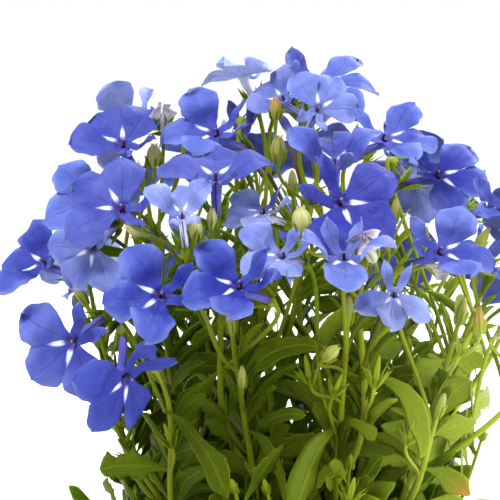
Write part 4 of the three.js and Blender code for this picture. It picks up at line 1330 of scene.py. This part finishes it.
# the young stems, spread evenly over the soil
YOUNG, YOUNG_STEPS, YOUNG_FOOT, YOUNG_TIP = 78, 22, 0.62, 0.36
for n in range(YOUNG):
    chance = draw(31000 + n * 13)
    for attempt in range(8):
        q, r = GOLDEN * n + 0.7 * next(chance), 6 + 31 * math.sqrt((n + 0.5) / YOUNG)
        foot = (r * cos(q) * 0.9, r * sin(q) * 0.9, SOIL_TOP - 2)
        high = (116 + 64 * next(chance) - 0.5 * r) if foot[1] > -20 else 112 + 12 * next(chance)
        lean = 1.0 + 0.3 * next(chance)
        tip = (foot[0] * lean + stray(chance, 6), foot[1] * lean + stray(chance, 6), high)
        sway = (stray(chance, 10), stray(chance, 10), 0)
        hold = add(add(foot, UP, 0.4 * (high - SOIL_TOP)), sway)
        back = add(add(tip, (0.15 * foot[0], 0.15 * foot[1], 14), -0.8), sway, -0.6)
        curve = (foot, hold, back, tip)
        if free((), walk(curve, 20)[3:], 0.6, 0.2):
            break
    else:
        continue
    near = min(range(len(SHOOTS)), key=lambda s: far((*SHOOTS[s][0], 0), (foot[0], foot[1], 0)))
    path, thinning = walk(curve, YOUNG_STEPS), YOUNG_FOOT - YOUNG_TIP
    radii = [YOUNG_FOOT - thinning * t / YOUNG_STEPS for t in range(YOUNG_STEPS + 1)]
    stem_strand(stems[near], path, radii, 0.3 + 0.6 * next(chance))
    take(f"young_{n}", path, 0.7)
    way = unit(add(path[-1], path[-2], -1))
    bud_on(stems[near], small[near], add(path[-1], way, 0.6), way, 0.55, next(chance), GREEN)
    small_leaves(near, curve, f"young_{n}", 0.6, 5, 2.3, 42000 + n * 307)

leaf_green = finish_of(
    "leaf green", leaf_paint, Specular_Tint=(0.8, 1, 0.1, 1), Subsurface_Weight=0.25, **FLESHY
)
for i in range(len(SHOOTS)):
    node = f"shoot_{i + 1:02d}"
    for store, kind, sides, flat, fold, ridge, ripple, finish in (
        (stems[i], "stems", 10, 1.0, 0.0, 0.1, 0.0, stem_green),
        (blades[i], "leaves", 8, 0.07, 0.2, 0.0, 0.9, leaf_green),
        (small[i], "small_leaves", 4, 0.14, 0.22, 0.0, 0.6, leaf_green),
    ):
        section = {"Sides": sides, "Flat": flat, "Fold": fold, "Ridge": ridge, "Ripple": ripple}
        mesh = store.mesh(f"{node}_{kind}")
        piece = shaped(f"{node}_{kind}", mesh, strand, Finish=finish, **section)
        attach(piece, "root")
        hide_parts(node)


# ----------------------------------------------------------------- the flowers
# Each is a slit tube that opens in two lips: three broad lobes joined at the
# base and two narrow ones over them, thin as paper, with two white marks.
BROAD_EDGE = [
    (0.35, 0.25), (0.7, 0.5), (1.1, 0.75), (1.6, 1.1), (2.3, 1.6), (3.1, 2.25), (4, 3), (5, 3.75),
    (5.9, 4.25)
]
BROAD_EDGE += [
    (6.7 + 4.5 * sin(q), 4.5 * cos(q)) for q in np.linspace(0, 1.48, 12)
] + [(11.4, 0.08)]
NARROW_EDGE = [
    (0.35, 0.2), (0.7, 0.4), (1.3, 0.6), (2.2, 0.75), (3.2, 0.95), (4.2, 1.25), (5.2, 1.55),
    (6.1, 1.7), (7, 1.55), (7.9, 1.15), (8.6, 0.65), (9.2, 0.1)
]
# the anthers' way out of the throat and down it, and their radius
HORN = [(-2.2, -0.4, 0.2), (-1.1, -0.45, 0.26), (-0.1, -0.5, 0.32), (0.6, -0.35, 0.36)]
HORN += [(1.05, -0.05, 0.3), (1.15, 0.1, 0.08)]
TUBE_WALL, ANTHERS = 1, 2
# how pale and how deep in colour certain blooms are; the others draw theirs
PALE = {
    4: 0.0, 7: 0.35, 8: 0.45, 12: 0.55, 13: 0.85, 14: 0.35, 16: 0.35, 23: 0.35, 24: 0.3, 25: 0.6,
    26: 0.0, 27: 0.4, 28: 0.6, 31: 0.9, 43: 0.3
}
DEEP = {2: 0.5, 3: 0.8, 4: 0.35, 5: 0.85, 9: 0.9, 11: 0.9, 18: 1.0, 26: 0.3, 29: 0.8}


def smooth(x, low, high):
    t = np.clip((x - low) / (high - low), 0, 1)
    return t * t * (3 - 2 * t)


class Shell:
    """A mesh being built from closed sheets, with the flower's marks."""

    def __init__(self):
        self.points, self.faces, self.count = [], [], 0
        self.marks = {"reach": [], "fan": [], "back": [], "part": []}

    def put(self, points, faces, **marks):
        flat = points.reshape(-1, 3)
        self.faces += [[self.count + v for v in face] for face in faces]
        self.points.append(flat)
        for key in self.marks:
            self.marks[key].append(np.broadcast_to(marks.get(key, 0.0), points.shape[:-1]).ravel())
        self.count += len(flat)

    def sheet(self, front, back, **marks):
        """Two like grids of points, closed round their rim."""
        rows, columns, _ = front.shape
        size = rows * columns
        faces = grid_faces(rows, columns) + grid_faces(rows, columns, size, flip=True)
        grid = np.arange(size).reshape(rows, columns)
        rim = [*grid[0], *grid[1:, -1], *grid[-1, -2::-1], *grid[-2:0:-1, 0]]
        rim = [int(corner) for corner in rim]
        for a, b in zip(rim, rim[1:] + rim[:1]):
            faces.append([b, a, size + a, size + b])
        both = {
            key: np.stack([np.broadcast_to(v, (rows, columns))] * 2) for key, v in marks.items()
        }
        both["back"] = np.stack([np.zeros((rows, columns)), np.ones((rows, columns))])
        self.put(np.stack([front, back]), faces, **both)


def turned(a, b, angles):
    """Two square directions, turned in their plane by a grid of angles."""
    c, s = np.cos(angles)[..., None], np.sin(angles)[..., None]
    return a * c + b * s, b * c - a * s


def lobe(shell, f, size, slim, chance, place, angle, rise, near, after, beside, edge, lift):
    """One lobe: flat at the throat, level with the lobe beside it where the two are
    joined, then raised to its own pose."""
    d, s, n, at = (np.array(f[k]) for k in ("d", "s", "n", "at"))
    broad_one = edge is BROAD_EDGE
    v = np.sin(np.linspace(-1, 1, 13 if broad_one else 7) * math.pi / 2)[None, :]
    stretch = 1 + stray(chance, 0.05)
    x = np.array([e[0] for e in edge])[:, None]
    reach = 1.25 + (x - 1.25) * stretch
    broad = np.array([e[1] for e in edge])[:, None] * (slim if broad_one else 1)
    ripple = 1 + 0.06 * np.sin(1.9 * x + 6 * next(chance)) * smooth(x, 5, 8)
    # joined to the lobes beside it near the throat, then with an edge of its own
    bound = {}
    for sign, gap in ((-1, near), (1, after)):
        joined = x * math.tan(gap * RAD)
        free_side = broad * (ripple if sign > 0 else 2 - ripple)
        parts = (4.8, 7.8) if gap < 36 and broad_one else (1, 2.8)
        bound[sign] = joined + (free_side - joined) * smooth(x, *parts)
    half = np.where(v > 0, bound[1], bound[-1])
    # raised to its pose, and level with its neighbours where they are joined
    ax0 = d * cos(angle * RAD) + s * sin(angle * RAD)
    side = -d * sin(angle * RAD) + s * cos(angle * RAD)
    shared = np.where(v > 0, beside[1], beside[0]) * v ** 2 * smooth(x, 8.5, 4.5)
    pitch = (rise + shared) * RAD * smooth(x, 2.8, 6.2)
    ax1, up1 = turned(ax0, n, pitch)
    # curled, cupped, waved and twisted, with a crease down its middle
    curl, cup = 0.6 + 2.6 * next(chance), 3.4 * next(chance) - 0.9
    wave, phase = stray(chance, 2.3), 6 * next(chance)
    twist = stray(chance, 1) * (0.25 if broad_one else 1.1) * smooth(x, 2.5, 7)
    tip = np.interp(x, [p for p, _ in lift], [h for _, h in lift])
    height = np.where(tip < 0, tip * curl, tip)
    crease = 0.4 * np.exp(-((v / 0.22) ** 2)) * smooth(x, 2, 5)
    height = height - 0.6 * cup * v ** 2 * smooth(x, 3, 8) - crease
    height = height + wave * np.sin(2.6 * v + 0.5 * x + phase) * smooth(x, 4, 9)
    height = height + (0.3 + 0.3 * next(chance)) * v * smooth(x, 3.6, 8)
    height = height - 1.1 * smooth(x, 1.7, 0.4)
    across, facing = turned(side, up1, twist)
    front = ax1 * reach[..., None] + up1 * height[..., None] + across * (v * half)[..., None]
    front = at + size * front
    # a thin sheet that is thinner still toward its edge
    end = edge[-1][0]
    thick = 0.05 + 0.2 * smooth(np.abs(v), 1.05, 0.55) * smooth(x, end + 0.2, end - 2)
    back = front - facing * thick[..., None] * size
    fan = (place + 0.5 * v)[:, ::-1] + 0 * x
    shell.sheet(front[:, ::-1], back[:, ::-1], reach=x + 0 * v, fan=fan)


def tube(shell, bloom, f, size):
    """The tube: two walls that widen from the cup to the throat, deeper than wide."""
    d, s, n, a, at = (np.array(f[k]) for k in ("d", "s", "n", "a", "at"))
    around, rows = 16, 10
    start = np.array(heel(bloom, f)) - a * 0.6
    ctrl = [start, start + a * 5.2 * size, at - n * 3 * size, at - n * 0.45 * size]
    turns = np.linspace(-math.pi, math.pi, around + 1)[:-1]
    rings, marks = [], []
    for t in np.linspace(0, 1, rows):
        w = [(1 - t) ** 3, 3 * (1 - t) ** 2 * t, 3 * (1 - t) * t * t, t ** 3]
        centre = sum(k * c for k, c in zip(w, ctrl))
        way = a * (1 - t) + n * t
        way /= np.linalg.norm(way)
        low = np.cross(s, way)
        low *= 1 if low @ d > 0 else -1
        wide = (0.85 + 0.35 * t + 0.25 * t ** 4) * size
        ring = 0.92 * low * np.cos(turns)[:, None] + s * np.sin(turns)[:, None]
        rings.append(centre + wide * (1 + 0.04 * np.cos(5 * turns))[:, None] * ring)
        marks.append(np.full(around, -TUBE * (1 - t)))
    # an outer wall, and an inner one that ends in a point at the foot
    outer = np.array(rings)
    middle = outer.mean(1, keepdims=True)
    inner = middle + (outer - middle) * 0.82
    inner[0] = middle[0]
    path = np.concatenate([outer, inner[::-1]])
    faces = grid_faces(2 * rows, around, loop=True)
    faces += [[0, around - k, around - 1 - k] for k in range(1, around - 1)]
    trail = np.concatenate([np.array(marks), np.array(marks)[::-1]])
    # the faces point outward whichever way round the rings run
    rim = path[0] - path[0, 0]
    inward = (path[1, 0] - path[0, 0]) @ np.cross(rim[1], rim[around // 2]) < 0
    faces = faces if inward else [face[::-1] for face in faces]
    back = np.concatenate([np.ones((rows, around)), np.zeros((rows, around))])
    shell.put(path, faces, reach=trail, fan=turns / math.pi + 0 * trail, back=back, part=TUBE_WALL)


def anthers(shell, f, size):
    """The joined anthers, a small dark horn that leans out under the upper lip."""
    d, s, n, at = (np.array(f[k]) for k in ("d", "s", "n", "at"))
    around, rows = 8, len(HORN)
    path = [at + n * out + d * down for out, down, _ in HORN]
    turns = np.linspace(0, 2 * math.pi, around + 1)[:-1]
    rings = []
    for i, (p, (_, _, r)) in enumerate(zip(path, HORN)):
        way = path[min(i + 1, rows - 1)] - path[max(i - 1, 0)]
        up = np.cross(s, way / np.linalg.norm(way))
        ring = s * np.cos(turns)[:, None] + up * np.sin(turns)[:, None]
        rings.append(at + (p - at) * size + size * r * ring)
    faces = grid_faces(rows, around, loop=True)
    faces += [list(range(around))[::-1], list(range((rows - 1) * around, rows * around))]
    shell.put(np.array(rings), faces, part=ANTHERS, reach=np.arange(rows)[:, None] + 0 * turns)


def petal_paint(b):
    """Violet-blue that drifts over each lobe, fine veins fanning out of the throat,
    two white wedges where the broad lobes meet, and a paler, greyer back."""
    reach, fan, back, part = b.marks("reach", "fan", "back", "part")
    pale, deep, tone = b.marks("pale", "deep", "tone")
    drift, fine = b.grain(110, 3), b.grain(700, 4)
    crease = abs(b.grain(190, 3) - 0.5) * 7
    across = (fan - fan.math("ROUND")) * 2
    # deep near the throat, partly painted shade there, and lighter outward and along the margin,
    # partly a painted highlight on the rims
    bright = b.rise(drift + tone * 0.4 - 0.2, 0.32, 0.68)
    base = b.blend(bright, (0.012, 0.022, 0.290), (0.110, 0.170, 0.620))
    base = b.blend(b.rise(reach, 7, 2) * 0.5, base, (0.016, 0.018, 0.270))
    base = b.blend(b.rise(reach + drift * 4, 6, 13) * 0.5, base, (0.120, 0.185, 0.600))
    margin = b.rise(abs(across) + drift * 0.5, 0.75, 1.25) * b.rise(reach, 4, 8)
    base = b.blend(margin * 0.5, base, (0.280, 0.360, 0.740))
    base = b.blend(deep * 0.85, base, (0.016, 0.020, 0.275))
    # veins that fan out, and one down the middle
    rays = across * 4.5 + (fine - 0.5) * 0.35
    vein = b.rise(rays.off_whole(), 0.16, 0.02) * b.rise(reach, 2, 4)
    mid = b.rise(abs(across), 0.09, 0.02) * b.rise(reach, 10.5, 8)
    base = b.blend(vein * 0.1 + mid * 0.18, base, (0.012, 0.016, 0.230))
    # pale blooms, the back, and painted shade in the fine creases
    light = b.blend(b.rise(drift, 0.3, 0.7), (0.250, 0.330, 0.740), (0.520, 0.610, 0.940))
    base = b.blend(pale, base, light)
    beneath = b.blend(pale, (0.150, 0.185, 0.560), (0.520, 0.610, 0.960))
    base = b.blend(back * (0.62 - 0.35 * deep + 0.3 * pale), base, beneath)
    # painted shade darkens the fine creases
    base = b.blend(b.rise(crease, 1.1, 0.0) * 0.16, base, (0.024, 0.034, 0.300))
    base = b.blend(0.44 - 0.34 * back * pale, base, (0.002, 0.003, 0.040))
    # the two white wedges, and the purple in the throat
    edge = abs(abs(fan) - 0.5)
    limit = (0.42 - reach * 0.1).math("MINIMUM", 0.22) + (fine - 0.5) * 0.12
    wedge = b.rise(edge - limit, 0.07, -0.07) * b.rise(reach, 1.1, 1.8) * b.rise(reach, 5.2, 2.8)
    whitish = b.blend(b.rise(reach, 2.3, 1.4), (0.43, 0.46, 0.60), (0.33, 0.27, 0.26))
    base = b.blend(wedge * (1 - back), base, whitish)
    throat = b.rise(reach, 1.3, 0.5) * (1 - back)
    base = b.blend(throat * 0.6, base, (0.11, 0.05, 0.20))
    # the tube, striped along, with a dark slit on top
    stripes = fan * 10 + fine * 0.3
    white = b.rise(pale, 0.25, 0.6)
    between = b.blend(white, (0.070, 0.075, 0.330), (0.620, 0.650, 0.780))
    streak = b.blend(white, (0.028, 0.026, 0.180), (0.270, 0.280, 0.520))
    wall = b.blend(b.rise(stripes.off_whole(), 0.3, 0.08), between, streak)
    wall = b.blend(b.rise(reach, -4.5, -8) * 0.5, wall, (0.10, 0.06, 0.17))
    wall = b.blend(b.rise(abs(fan), 0.9, 0.965), wall, (0.020, 0.012, 0.060))
    base = b.blend(part.equals(TUBE_WALL), base, wall)
    # the anthers, dark with a paler tip
    horn = b.blend(b.rise(reach, 3.4, 4.6), (0.030, 0.018, 0.060), (0.14, 0.13, 0.22))
    base = b.blend(b.rise(part, 1.5, 1.8), base, horn)
    relief = b.bump(crease + fine * 0.5 - vein * 0.2 - mid * 0.6, 0.7, 0.0002)
    return {"Base Color": base, "Roughness": 0.5 + 0.15 * fine + back * 0.15, "Normal": relief}


petal_blue = finish_of(
    "violet-blue petal", petal_paint, Specular_IOR_Level=0.15,
    Subsurface_Weight=0.15, Subsurface_Radius=(0.4, 0.45, 1.0), Subsurface_Scale=0.0006,
)
BROAD_LIFT = [
    (0, 0), (2.6, 0.05), (4.5, 0.1), (7.7, 0.1), (9.2, -0.25), (10.6, -0.75), (11.3, -1.05)
]
NARROW_LIFT = [(0, 0), (5, 0.2), (7, 0.5), (9.2, 1.0)]
for bloom, name, f in flowers:
    number, size, rise, spread = int(name[-2:]), bloom.size, bloom.rise, bloom.spread
    shell, chance = Shell(), draw(700 + number * 37)
    inner, outer, above = spread / 2, (UPPER_TURN - spread) / 2, 180 - UPPER_TURN
    half = (rise - LOW_RISE) / 2
    broad, narrow = (BROAD_EDGE, BROAD_LIFT), (NARROW_EDGE, NARROW_LIFT)
    for pose in (
        (0, 0, LOW_RISE, inner, inner, (half, half), *broad),
        (1, spread, rise, inner, outer, (-half, 0), *broad),
        (-1, -spread, rise, outer, inner, (0, -half), *broad),
        (2, UPPER_TURN, UPPER_RISE, outer, above, (0, 0), *narrow),
        (-2, -UPPER_TURN, UPPER_RISE, above, outer, (0, 0), *narrow),
    ):
        lobe(shell, f, size, slimness(bloom), chance, *pose)
    tube(shell, bloom, f, size)
    anthers(shell, f, size)
    marks = {key: np.concatenate(parts) for key, parts in shell.marks.items()}
    marks["pale"] = np.full(shell.count, PALE.get(number, 0.1 * next(chance)))
    marks["deep"] = np.full(shell.count, DEEP.get(number, 0.25 * next(chance)))
    marks["tone"] = np.full(shell.count, next(chance))
    mesh = mesh_of(name, np.concatenate(shell.points), shell.faces, **marks)
    piece = placed(f"{name}_flower", mesh, petal_blue)
    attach(piece, "root")
    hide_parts(name)


# ---------------------------------------------------------------------- finish
# The things that a new file starts with go.
for spare in [o for o in bpy.data.objects if o.name in ("Cube", "Light", "Camera")]:
    bpy.data.objects.remove(spare)
